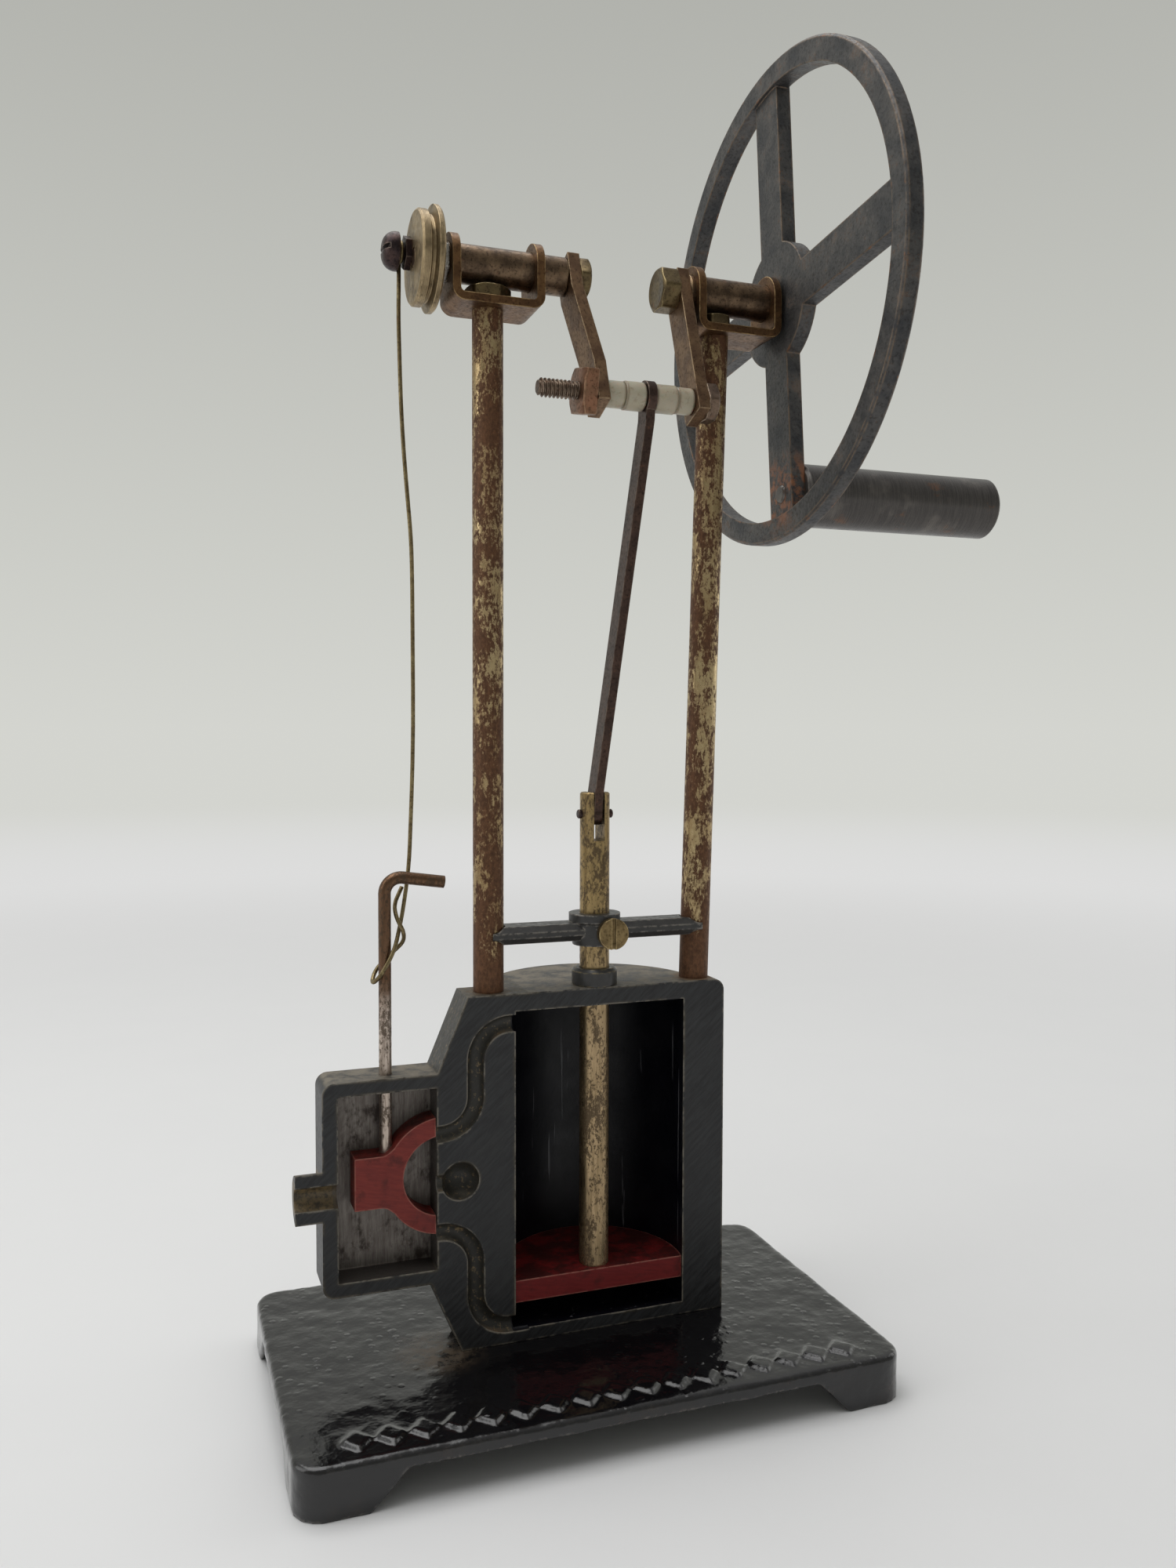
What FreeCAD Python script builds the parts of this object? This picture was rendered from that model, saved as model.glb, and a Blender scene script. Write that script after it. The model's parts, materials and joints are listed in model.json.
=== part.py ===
"""Sectional steam-engine demonstration model: a parametric solid model, millimetres, +Z up.

The origin is the middle of the base's footprint, on the surface it stands on. +X runs along the
crankshaft towards the flywheel and -Y is the sectioned side that the viewer looks at.
"""
import FreeCAD
import Part
import Sketcher
import math
import os

FULL_TURN = 360
X_AXIS = FreeCAD.Vector(1, 0, 0)
Y_AXIS = FreeCAD.Vector(0, 1, 0)
Z_AXIS = FreeCAD.Vector(0, 0, 1)

doc = FreeCAD.newDocument("SectionalEngine")

# Driving dimensions: alias, value in mm or degrees, what it is.
DIMENSIONS = [
    ("base_length", 154.5, "base casting along X"),
    ("base_width", 92.0, "base casting along Y"),
    ("base_top", 12.2, "top of the base above the table"),
    ("base_plate", 3.6, "thickness of the base plate"),
    ("base_corner", 7.0, "radius of the base's upright corners"),
    ("base_edge", 1.5, "round on the base's top edge"),
    ("foot_sole_x", 17.0, "foot sole along X"),
    ("foot_sole_y", 15.0, "foot sole along Y"),
    ("foot_wall", 6.0, "wall of each foot"),
    ("stud_length", 6.6, "ornament lozenge along X"),
    ("stud_width", 7.4, "ornament lozenge along Y"),
    ("stud_height", 1.0, "ornament lozenge above the plate"),
    ("stud_pitch", 7.8, "spacing of the ornament"),
    ("stud_inset", 7.8, "ornament row in from the front edge"),
    ("rod_x", 8.0, "piston rod and bore axis"),
    ("rod_y", -0.7, "plane of the rod, posts and shafts"),
    ("section_y", -6.4, "flat sectioned face of the cylinder block"),
    ("slab_thickness", 11.8, "block slab behind the sectioned face"),
    ("block_left", -28.4, "top left corner of the block"),
    ("block_right", 43.7, "right side of the block"),
    ("block_corner", 3.0, "rounded corners of the block"),
    ("bore_diameter", 48.7, "cylinder bore"),
    ("cylinder_wall", 4.4, "wall of the half cylinder"),
    ("bore_floor", 15.6, "bottom of the bore above the table"),
    ("bore_roof", 4.7, "metal above the bore"),
    ("floor_clearance", 4.0, "piston to cylinder floor at bottom dead centre"),
    ("roof_clearance", 5.8, "piston to cylinder roof at top dead centre"),
    ("piston_thickness", 5.8, "piston along Z"),
    ("piston_gap", 0.1, "piston to bore, radially"),
    ("chest_left", -65.2, "left side of the steam chest"),
    ("chest_top", 84.8, "top of the steam chest"),
    ("chest_bottom", 30.9, "underside of the steam chest"),
    ("chest_side_wall", 3.9, "left wall of the chest"),
    ("chest_end_wall", 3.6, "top and bottom walls of the chest"),
    ("chest_depth", 8.4, "depth of the chest recess"),
    ("shoulder_x", -36.3, "foot of the shoulder above the chest"),
    ("waist_x", -38.1, "corner where the chest meets the block's foot"),
    ("block_foot_x", -30.0, "left end of the block on the base"),
    ("seat_x", -36.4, "valve seat face"),
    ("port_mid", 56.6, "height of the exhaust port"),
    ("port_spread", 12.6, "steam ports above and below the exhaust port"),
    ("passage_width", 4.3, "width of the steam passages"),
    ("passage_x", -26.3, "upright run of the passages"),
    ("passage_bend", 9.0, "bend radius of the passages"),
    ("exhaust_diameter", 9.8, "hemispherical exhaust port"),
    ("exhaust_x", -30.3, "centre of the exhaust port"),
    ("nipple_length", 6.6, "steam inlet nipple"),
    ("nipple_diameter", 12.4, "steam inlet nipple"),
    ("inlet_bore", 6.0, "bore of the steam inlet"),
    ("post_diameter", 7.94, "round posts"),
    ("spigot_diameter", 5.0, "turned end of each post"),
    ("spigot_length", 10.0, "turned end of each post"),
    ("left_post_x", -21.4, "left post"),
    ("right_post_x", 37.1, "right post where it stands on the block"),
    ("right_post_top_x", 42.0, "right post under its bracket; the post leans"),
    ("rod_diameter", 7.94, "piston rod"),
    ("running_gap", 0.08, "radial clearance of running fits"),
    ("gland_diameter", 12.1, "piston rod gland"),
    ("gland_height", 4.6, "piston rod gland above the block"),
    ("fork_above_wrist", 5.8, "rod end above the wrist pin"),
    ("fork_below_wrist", 7.0, "slot below the wrist pin"),
    ("fork_slot", 3.0, "slot in the rod end"),
    ("wrist_diameter", 2.4, "wrist pin"),
    ("crosshead_drop", 30.6, "crosshead below the wrist pin"),
    ("crosshead_hub", 13.8, "crosshead hub diameter"),
    ("crosshead_height", 8.4, "crosshead hub along Z"),
    ("crosshead_bar", 4.6, "crosshead bar height"),
    ("crosshead_depth", 9.4, "crosshead bar along Y"),
    ("guide_gap", 0.5, "crosshead notch to post, radially"),
    ("clamp_diameter", 8.2, "crosshead clamp screw head"),
    ("clamp_offset", 2.3, "clamp screw to the right of the rod axis"),
    ("axis_height", 289.0, "crankshaft axis above the table"),
    ("bracket_drop", 9.0, "crankshaft axis above the bracket plate"),
    ("bracket_sheet", 2.1, "bracket strip thickness"),
    ("bracket_width", 14.0, "bracket strip width"),
    ("bracket_bend", 3.2, "outer bend radius of the brackets"),
    ("left_bracket_x", -32.1, "left face of the left bracket"),
    ("left_bracket_span", 23.9, "left bracket over its legs"),
    ("right_bracket_x", 34.6, "left face of the right bracket"),
    ("right_bracket_span", 24.4, "right bracket over its legs"),
    ("left_cap_across", 10.6, "left post cap screw across flats"),
    ("right_cap_across", 8.6, "right post cap screw across flats"),
    ("cap_head_height", 3.6, "post cap screw head"),
    ("shaft_diameter", 9.6, "both half shafts"),
    ("stud_diameter", 4.8, "threaded studs, bolts and the crankpin"),
    ("crank_throw", 34.0, "crankshaft axis to crankpin"),
    ("crank_angle", 20.0, "crank before bottom dead centre, on the viewer's side"),
    ("rod_length", 108.2, "connecting rod between its eyes"),
    ("arm_width", 8.8, "crank arm strip"),
    ("arm_thickness", 3.2, "crank arm strip"),
    ("arm_set", 3.4, "sideways set of the left arm"),
    ("left_arm_x", -0.9, "left face of the left arm at the shaft"),
    ("right_arm_x", 30.0, "left face of the right arm"),
    ("left_bolt_across", 9.3, "left shaft bolt across flats"),
    ("left_bolt_head", 3.0, "left shaft bolt head"),
    ("right_bolt_across", 10.4, "right shaft bolt across flats"),
    ("right_bolt_head", 5.0, "right shaft bolt head"),
    ("pin_nut", 3.9, "square crankpin nut, thickness"),
    ("pin_nut_across", 11.2, "square crankpin nut, across flats"),
    ("pin_nut_turn", 13.0, "where the crankpin nut was stopped, about X"),
    ("pin_head", 3.2, "crankpin head thickness"),
    ("pin_head_across", 9.4, "crankpin head across flats"),
    ("pin_tail", 10.5, "crankpin thread past its nut"),
    ("spacer_diameter", 6.8, "crankpin sleeves beside the arms"),
    ("bush_diameter", 7.3, "crankpin sleeves beside the connecting rod"),
    ("conrod_x", 17.8, "connecting rod on the crankpin"),
    ("conrod_thickness", 2.4, "connecting rod strip"),
    ("conrod_width", 5.6, "connecting rod strip"),
    ("big_eye", 8.4, "connecting rod eye on the crankpin"),
    ("small_eye", 6.0, "connecting rod eye on the wrist pin"),
    ("disc_diameter", 25.6, "back flange of the valve crank disc"),
    ("disc_front", 23.0, "front flange of the valve crank disc"),
    ("disc_groove", 20.6, "groove of the valve crank disc"),
    ("disc_x", -40.5, "front face of the valve crank disc"),
    ("disc_thickness", 5.5, "valve crank disc"),
    ("valve_throw", 5.0, "shaft axis to the valve pin"),
    ("valve_lead", 30.0, "valve pin above the +Y direction, degrees"),
    ("valve_head", 9.4, "valve pin screw head"),
    ("wire_diameter", 1.05, "valve wire"),
    ("valve_rod_x", -48.6, "valve rod"),
    ("valve_rod_y", -1.5, "valve rod"),
    ("valve_rod_diameter", 3.18, "valve rod"),
    ("valve_rod_top", 133.9, "hook of the valve rod above the table"),
    ("valve_rod_hook", 15.4, "length of the hook"),
    ("valve_rod_bend", 4.0, "bend radius of the hook"),
    ("valve_drift", 1.7, "valve above its middle position"),
    ("valve_span", 30.2, "slide valve along Z"),
    ("valve_shell", 4.8, "wall of the slide valve's hood"),
    ("valve_stem", 13.2, "height of the slide valve's back"),
    ("valve_length", 20.6, "slide valve from seat to back"),
    ("valve_depth", 7.0, "slide valve along Y"),
    ("wheel_diameter", 130.6, "flywheel"),
    ("rim_depth", 6.2, "flywheel rim, radially"),
    ("rim_width", 4.9, "flywheel rim along X"),
    ("wheel_x", 59.1, "left face of the flywheel rim"),
    ("web_recess", 1.2, "spokes and hub behind the rim's face"),
    ("web_thickness", 4.2, "spokes and hub along X"),
    ("spoke_width", 12.0, "flywheel spokes"),
    ("wheel_hub", 33.0, "flywheel hub"),
    ("wheel_angle", -5.5, "flywheel turned on the shaft, degrees"),
    ("handle_radius", 52.8, "shaft axis to the handle"),
    ("handle_diameter", 17.0, "handle"),
    ("handle_length", 62.5, "handle"),
]

# A formula is a value together with the spreadsheet expression that gives it.


class Formula:
    def __init__(self, value, text):
        self.value = value
        self.text = text

    def __float__(self):
        return float(self.value)

    def __add__(self, other):
        return joined(self, "+", other)

    def __radd__(self, other):
        return joined(other, "+", self)

    def __sub__(self, other):
        return joined(self, "-", other)

    def __rsub__(self, other):
        return joined(other, "-", self)

    def __mul__(self, other):
        return joined(self, "*", other)

    def __rmul__(self, other):
        return joined(other, "*", self)

    def __truediv__(self, other):
        return joined(self, "/", other)

    def __neg__(self):
        return joined(0, "-", self)


def formula(number):
    return number if isinstance(number, Formula) else Formula(float(number), repr(float(number)))


def joined(left, sign, right):
    left, right = formula(left), formula(right)
    results = {
        "+": lambda a, b: a + b,
        "-": lambda a, b: a - b,
        "*": lambda a, b: a * b,
        "/": lambda a, b: a / b,
    }
    value = results[sign](left.value, right.value)
    return Formula(value, f"({left.text} {sign} {right.text})")


def sine(degrees):
    return Formula(math.sin(math.radians(degrees.value)), f"sin({degrees.text})")


def cosine(degrees):
    return Formula(math.cos(math.radians(degrees.value)), f"cos({degrees.text})")


def arcsine(ratio):
    return Formula(math.degrees(math.asin(ratio.value)), f"asin({ratio.text})")


def square_root(number):
    return Formula(math.sqrt(number.value), f"sqrt({number.text})")


class Sizes:
    """The driving dimensions by name, kept in the document's spreadsheet."""

    def __init__(self, rows):
        sheet = doc.addObject("Spreadsheet::Sheet", "Sizes")
        for row, (alias, value, meaning) in enumerate(rows, 1):
            sheet.set(f"A{row}", alias)
            sheet.set(f"B{row}", str(value))
            sheet.set(f"C{row}", meaning)
            sheet.setAlias(f"B{row}", alias)
            setattr(self, alias, Formula(float(value), f"Sizes.{alias}"))
        doc.recompute()


s = Sizes(DIMENSIONS)
sub_parts = []

# ---------------------------------------------------------------- building helpers


def bind(item, prop, size):
    """Set a property from a formula, or from a plain number."""
    if isinstance(size, Formula):
        item.setExpression(prop, size.text)
    else:
        item.setExpression(prop, repr(float(size)))


def place(item, at, axis=None, angle=None):
    """Put an item at a point, turned by an angle in degrees about an axis."""
    if axis is not None:
        item.Placement = FreeCAD.Placement(FreeCAD.Vector(), FreeCAD.Rotation(axis, float(angle)))
        if isinstance(angle, Formula):
            bind(item, "Placement.Rotation.Angle", angle)
    for letter, distance in zip("xyz", at):
        bind(item, f"Placement.Base.{letter}", distance)
    return item


TURNS = {"Z": (Z_AXIS, 0), "X": (Y_AXIS, 90), "Y": (X_AXIS, -90)}


def cylinder(name, diameter, length, at, along="Z"):
    piece = doc.addObject("Part::Cylinder", name)
    bind(piece, "Radius", formula(diameter) / 2)
    bind(piece, "Height", length)
    return place(piece, at, *TURNS[along])


def box(name, sides, at):
    piece = doc.addObject("Part::Box", name)
    for prop, side in zip(("Length", "Width", "Height"), sides):
        bind(piece, prop, side)
    return place(piece, at)


def hexagon(name, across, length, at, along="X"):
    """A hexagonal prism, sized across its flats."""
    piece = doc.addObject("Part::Prism", name)
    piece.Polygon = 6
    bind(piece, "Circumradius", across / math.sqrt(3))
    bind(piece, "Height", length)
    return place(piece, at, *TURNS[along])


def square_bar(name, across, length, at, turn):
    """A square bar along +X from a point on its axis, turned about that axis."""
    half = across / 2
    corner = (at[0], at[1] + half * (sine(turn) - cosine(turn)), at[2] - half * (sine(turn) + cosine(turn)))
    return place(box(name, (length, across, across), corner), corner, X_AXIS, turn)


def fuse(name, pieces):
    whole = doc.addObject("Part::MultiFuse", name)
    whole.Shapes = pieces
    whole.Refine = True
    return whole


def cut(name, base, tools):
    tool = tools[0] if len(tools) == 1 else fuse(name + "Tools", tools)
    result = doc.addObject("Part::Cut", name)
    result.Base = base
    result.Tool = tool
    result.Refine = True
    return result


def common(name, pieces):
    result = doc.addObject("Part::MultiCommon", name)
    result.Shapes = pieces
    return result


def draw(sketch, corners):
    """A closed outline of straight lines; each corner's two distances follow their formulas."""
    points = [FreeCAD.Vector(float(a), float(b), 0) for a, b in corners]
    first = sketch.GeometryCount
    count = len(points)
    for i in range(count):
        sketch.addGeometry(Part.LineSegment(points[i], points[(i + 1) % count]), False)
    for i in range(count):
        join = (first + i, 2, first + (i + 1) % count, 1)
        sketch.addConstraint(Sketcher.Constraint("Coincident", *join))
    for i, corner in enumerate(corners):
        for kind, distance in zip(("DistanceX", "DistanceY"), corner):
            rule = Sketcher.Constraint(kind, -1, 1, first + i, 1, float(distance))
            bind(sketch, f"Constraints[{sketch.addConstraint(rule)}]", distance)


def draw_circle(sketch, centre, diameter):
    middle = FreeCAD.Vector(float(centre[0]), float(centre[1]), 0)
    index = sketch.addGeometry(Part.Circle(middle, Z_AXIS, float(diameter) / 2), False)
    for kind, distance in zip(("DistanceX", "DistanceY"), centre):
        rule = Sketcher.Constraint(kind, -1, 1, index, 3, float(distance))
        bind(sketch, f"Constraints[{sketch.addConstraint(rule)}]", distance)
    rule = Sketcher.Constraint("Diameter", index, float(diameter))
    bind(sketch, f"Constraints[{sketch.addConstraint(rule)}]", diameter)


def sketch_on(body, name, plane, offset=None):
    """A sketch on one of the body's own origin planes, moved along its normal by an offset."""
    sketch = body.newObject("Sketcher::SketchObject", name)
    support = [f for f in body.Origin.OriginFeatures if f.Role == plane][0]
    sketch.AttachmentSupport = [(support, "")]
    sketch.MapMode = "FlatFace"
    if offset is not None:
        bind(sketch, "AttachmentOffset.Base.z", offset)
    return sketch


def new_body(name):
    return doc.addObject("PartDesign::Body", name)


def pad(body, sketch, length, reverse=False, middle=False):
    feature = body.newObject("PartDesign::Pad", sketch.Name + "Pad")
    feature.Profile = sketch
    bind(feature, "Length", length)
    feature.Reversed = reverse
    feature.Midplane = middle
    return feature


def pocket(body, sketch, length, reverse=False, middle=False):
    """Cut a sketch into the body, and make sure that it took something away."""
    doc.recompute()
    before = body.Shape.Volume
    feature = body.newObject("PartDesign::Pocket", sketch.Name + "Pocket")
    feature.Profile = sketch
    bind(feature, "Length", length)
    feature.Reversed = reverse
    feature.Midplane = middle
    doc.recompute()
    if body.Shape.Volume >= before:
        raise RuntimeError(f"{sketch.Name} cuts nothing")
    return feature


def round_edges(body, name, radius, chosen):
    """Fillet the body's edges for which chosen(edge) is true."""
    doc.recompute()
    names = [f"Edge{i}" for i, edge in enumerate(body.Shape.Edges, 1) if chosen(edge)]
    if not names:
        raise RuntimeError(f"{name} finds no edges")
    support = body.Tip
    feature = body.newObject("PartDesign::Fillet", name)
    feature.Base = (support, names)
    bind(feature, "Radius", radius)
    doc.recompute()
    return feature


def turned(name, profile, at, along="X"):
    """A turned piece: corners are (distance along the axis, radius), revolved about the axis."""
    body = new_body(name)
    sketch = sketch_on(body, name + "Profile", "XZ_Plane")
    draw(sketch, profile)
    feature = body.newObject("PartDesign::Revolution", name + "Turning")
    feature.Profile = sketch
    feature.ReferenceAxis = (sketch, ["H_Axis"])
    feature.Angle = FULL_TURN
    if along == "Z":
        return place(body, at, Y_AXIS, -90)
    return place(body, at)


def rod_profile(diameter, length, chamfer):
    """Half the outline of a plain round bar with chamfered ends."""
    radius = formula(diameter) / 2
    length = formula(length)
    return [
        (formula(0), formula(0)),
        (length, formula(0)),
        (length, radius - chamfer),
        (length - chamfer, radius),
        (formula(chamfer), radius),
        (formula(0), radius - chamfer),
    ]


def keep(piece, label):
    """Register a finished sub-part under its node name."""
    piece.Label = label
    sub_parts.append(piece)
    return piece


def along_x(edge):
    return abs(abs(edge.tangentAt(edge.FirstParameter).x) - 1) < 1e-6 and straight(edge)


def along_y(edge):
    return abs(abs(edge.tangentAt(edge.FirstParameter).y) - 1) < 1e-6 and straight(edge)


def along_z(edge):
    return abs(abs(edge.tangentAt(edge.FirstParameter).z) - 1) < 1e-6 and straight(edge)


def straight(edge):
    return isinstance(edge.Curve, (Part.Line, Part.LineSegment))


# ---------------------------------------------------------------- derived places

SMALL_CHAMFER = 0.4
THREAD_CHAMFER = 0.6
crank_y = s.rod_y - s.crank_throw * sine(s.crank_angle)
crank_z = s.axis_height - s.crank_throw * cosine(s.crank_angle)
swing_reach = s.crank_throw * sine(s.crank_angle)
swing_angle = arcsine(swing_reach / s.rod_length)
wrist_z = crank_z - s.rod_length * cosine(swing_angle)
lowest_wrist_z = s.axis_height - s.crank_throw - s.rod_length
lowest_piston_top = s.bore_floor + s.floor_clearance + s.piston_thickness
piston_top = wrist_z - (lowest_wrist_z - lowest_piston_top)
bore_height = s.floor_clearance + s.piston_thickness + 2 * s.crank_throw + s.roof_clearance
bore_top = s.bore_floor + bore_height
block_top = bore_top + s.bore_roof
slab_back = s.section_y + s.slab_thickness
plate_top = s.axis_height - s.bracket_drop
plate_bottom = plate_top - s.bracket_sheet
valve_pin_y = s.rod_y + s.valve_throw * cosine(s.valve_lead)
valve_pin_z = s.axis_height + s.valve_throw * sine(s.valve_lead)
valve_z = s.port_mid + s.valve_drift
crosshead_z = wrist_z - s.crosshead_drop


# ---------------------------------------------------------------- base


def base_plate():
    """Cast base: a thin plate on four hollow corner feet, with a row of plain raised lozenges."""
    body = new_body("BasePlate")
    half_x, half_y = s.base_length / 2, s.base_width / 2
    corners = [(-half_x, -half_y), (half_x, -half_y), (half_x, half_y), (-half_x, half_y)]
    outline = sketch_on(body, "BaseOutline", "XY_Plane")
    draw(outline, corners)
    pad(body, outline, s.base_top)
    round_edges(body, "BaseCorners", s.base_corner, along_z)
    top = float(s.base_top)
    round_edges(body, "BaseEdge", s.base_edge, lambda e: abs(e.BoundBox.ZMin - top) < 1e-4)
    below = s.base_top - s.base_plate
    hollow = sketch_on(body, "BaseHollow", "XY_Plane")
    in_x, in_y = half_x - s.foot_wall, half_y - s.foot_wall
    draw(hollow, [(-in_x, -in_y), (in_x, -in_y), (in_x, in_y), (-in_x, in_y)])
    pocket(body, hollow, below, reverse=True)
    spans = (
        ("XZ_Plane", half_x - s.foot_sole_x, s.base_width),
        ("YZ_Plane", half_y - s.foot_sole_y, s.base_length),
    )
    for plane, reach, through in spans:
        arch = sketch_on(body, "Arch" + plane[:2], plane)
        narrow = reach - below
        draw(arch, [(-reach, 0), (-narrow, below), (narrow, below), (reach, 0)])
        pocket(body, arch, through, middle=True)
    lozenge = sketch_on(body, "Ornament", "XY_Plane", s.base_top)
    row_y = s.stud_inset - half_y
    first_x = -8 * s.stud_pitch
    tips = [
        (first_x - s.stud_length / 2, row_y),
        (first_x, row_y - s.stud_width / 2),
        (first_x + s.stud_length / 2, row_y),
        (first_x, row_y + s.stud_width / 2),
    ]
    draw(lozenge, tips)
    first = pad(body, lozenge, s.stud_height)
    doc.recompute()
    row = body.newObject("PartDesign::LinearPattern", "OrnamentRow")
    row.Originals = [first]
    row.Direction = (lozenge, ["H_Axis"])
    bind(row, "Length", 16 * s.stud_pitch)
    row.Occurrences = 17
    body.Tip = row
    doc.recompute()
    holes = [cylinder("FixingHole", fixing_hole, s.base_top, (x, fixing_y, 0)) for x in fixing_x]
    return keep(cut("DrilledBase", body, holes), "base_plate")


FIXING_SPREAD = 24
FIXING_SHANK = 4.0
fixing_x = [s.rod_x - FIXING_SPREAD, s.rod_x + FIXING_SPREAD]
fixing_y = s.section_y + s.slab_thickness / 2
fixing_hole = FIXING_SHANK + 2 * s.running_gap
fixing_grip = s.bore_floor - 1.0


def block_fixing_screws():
    """Two cheese-head screws that come up through the base into the block."""
    head_height, head_diameter = 2.8, 7.6
    seat = s.base_top - s.base_plate
    pieces = []
    for x in fixing_x:
        shank = cylinder("FixingShank", FIXING_SHANK, fixing_grip - seat, (x, fixing_y, seat))
        head = cylinder("FixingHead", head_diameter, head_height, (x, fixing_y, seat - head_height))
        screw = fuse("FixingScrew", [shank, head])
        slot_at = (x - head_diameter / 2, fixing_y - 0.5, seat - head_height)
        pieces.append(cut("SlottedScrew", screw, [box("ScrewSlot", (head_diameter, 1, 1), slot_at)]))
    group = doc.addObject("Part::Compound", "FixingScrews")
    group.Links = pieces
    return keep(group, "block_fixing_screws")


# ---------------------------------------------------------------- cylinder block


def passage_route(points, bend):
    """A wire of straight runs joined by tangent arcs of one radius."""
    edges = []
    start = points[0]
    for corner, after in zip(points[1:-1], points[2:]):
        incoming = (start - corner).normalize()
        outgoing = (after - corner).normalize()
        half = incoming.getAngle(outgoing) / 2
        reach = bend / math.tan(half)
        bisector = (incoming + outgoing).normalize()
        middle = corner + bisector * (bend / math.sin(half) - bend)
        enter, leave = corner + incoming * reach, corner + outgoing * reach
        edges += [Part.LineSegment(start, enter).toShape(), Part.Arc(enter, middle, leave).toShape()]
        start = leave
    edges.append(Part.LineSegment(start, points[-1]).toShape())
    return Part.Wire(edges)


def passage(name, heights):
    """Cutter for a steam passage: a round bar bent along its route, half sunk in the face."""
    face = float(s.section_y)
    bend = float(s.passage_bend)
    width = float(s.passage_width)
    port, level = heights
    points = [
        FreeCAD.Vector(float(s.seat_x) - width / 2, face, port),
        FreeCAD.Vector(float(s.passage_x), face, port),
        FreeCAD.Vector(float(s.passage_x), face, level),
        FreeCAD.Vector(float(s.rod_x - s.bore_diameter / 2) + width, face, level),
    ]
    route = passage_route(points, bend)
    section = Part.Wire([Part.Circle(points[0], X_AXIS, width / 2).toShape()])
    cutter = doc.addObject("Part::Feature", name)
    cutter.Shape = route.makePipeShell([section], True, True)
    return cutter


def block_outline():
    """The slab's outline in X and Z, from the top left corner anticlockwise."""
    return [
        (s.block_left, block_top),
        (s.shoulder_x, s.chest_top),
        (s.chest_left, s.chest_top),
        (s.chest_left, s.chest_bottom),
        (s.waist_x, s.chest_bottom),
        (s.block_foot_x, s.base_top),
        (s.block_right, s.base_top),
        (s.block_right, block_top),
    ]


def cylinder_block():
    """The sectioned casting: slab, half cylinder, steam chest, ports and passages."""
    body = new_body("BlockCasting")
    slab = sketch_on(body, "SlabOutline", "XZ_Plane", -s.section_y)
    draw(slab, block_outline())
    pad(body, slab, s.slab_thickness, reverse=True)
    outer = {(float(s.chest_left), float(s.chest_top)), (float(s.chest_left), float(s.chest_bottom)),
             (float(s.block_right), float(block_top))}

    def is_corner(edge):
        point = edge.Vertexes[0].Point
        near = [c for c in outer if abs(point.x - c[0]) + abs(point.z - c[1]) < 1e-3]
        return along_y(edge) and bool(near)

    round_edges(body, "SlabCorners", s.block_corner, is_corner)
    height = block_top - s.base_top
    outside = s.bore_diameter + 2 * s.cylinder_wall
    at = (s.rod_x, s.rod_y, s.base_top)
    round_back = cylinder("RoundBack", outside, height, at)
    behind = box("BehindSection", (outside, outside, height),
                 (s.rod_x - outside / 2, s.section_y, s.base_top))
    half_cylinder = common("HalfCylinder", [round_back, behind])
    nipple_at = (s.chest_left - s.nipple_length, s.section_y, s.port_mid)
    nipple = cylinder("NippleBar", s.nipple_diameter, s.nipple_length + 1, nipple_at, "X")
    nipple_back = box("NippleBack", (s.nipple_length + 1, s.nipple_diameter, s.nipple_diameter),
                      (nipple_at[0], s.section_y, s.port_mid - s.nipple_diameter / 2))
    half_nipple = common("HalfNipple", [nipple, nipple_back])
    casting = fuse("Casting", [body, half_cylinder, half_nipple])
    bore = cylinder("Bore", s.bore_diameter, bore_height, (s.rod_x, s.rod_y, s.bore_floor))
    window = box("BoreWindow", (s.bore_diameter, s.bore_diameter, bore_height),
                 (s.rod_x - s.bore_diameter / 2, s.section_y - s.bore_diameter, s.bore_floor))
    half_chord = square_root(s.bore_diameter * s.bore_diameter / 4
                             - (s.rod_y - s.section_y) * (s.rod_y - s.section_y))
    bind(window, "Length", 2 * half_chord)
    bind(window, "Placement.Base.x", s.rod_x - half_chord)
    recess_left = s.chest_left + s.chest_side_wall
    recess = box("ChestRecess",
                 (s.seat_x - recess_left, s.chest_depth, s.chest_top - s.chest_bottom - 2 * s.chest_end_wall),
                 (recess_left, s.section_y, s.chest_bottom + s.chest_end_wall))
    inlet = cylinder("Inlet", s.inlet_bore, s.nipple_length + s.chest_side_wall + 2,
                     (nipple_at[0] - 1, s.section_y, s.port_mid), "X")
    neck = cylinder("ExhaustNeck", s.passage_width, s.exhaust_x - s.seat_x + 1,
                    (s.seat_x - 1, s.section_y, s.port_mid), "X")
    exhaust = doc.addObject("Part::Sphere", "ExhaustPort")
    bind(exhaust, "Radius", s.exhaust_diameter / 2)
    place(exhaust, (s.exhaust_x, s.section_y, s.port_mid))
    high = passage("UpperPassage", (float(s.port_mid + s.port_spread), float(bore_top) - 3.0))
    low = passage("LowerPassage", (float(s.port_mid - s.port_spread), float(s.bore_floor) + 1.6))
    rod_hole = cylinder("RodHole", s.rod_diameter + 4 * s.running_gap, s.bore_roof + 2,
                        (s.rod_x, s.rod_y, bore_top - 1))
    valve_hole = cylinder("ValveRodHole", s.valve_rod_diameter + 2 * s.running_gap,
                          s.chest_end_wall + 2,
                          (s.valve_rod_x, s.valve_rod_y, s.chest_top - s.chest_end_wall - 1))
    sockets = [
        cylinder("PostSocket", s.spigot_diameter, s.spigot_length,
                 (x, s.rod_y, block_top - s.spigot_length))
        for x in (s.left_post_x, s.right_post_x)
    ]
    tapped = [
        cylinder("TappedHole", FIXING_SHANK, fixing_grip - s.base_top, (x, fixing_y, s.base_top))
        for x in fixing_x
    ]
    tools = [bore, window, recess, inlet, neck, exhaust, high, low, rod_hole, valve_hole]
    return keep(cut("CylinderBlock", casting, tools + sockets + tapped), "cylinder_block")


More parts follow.
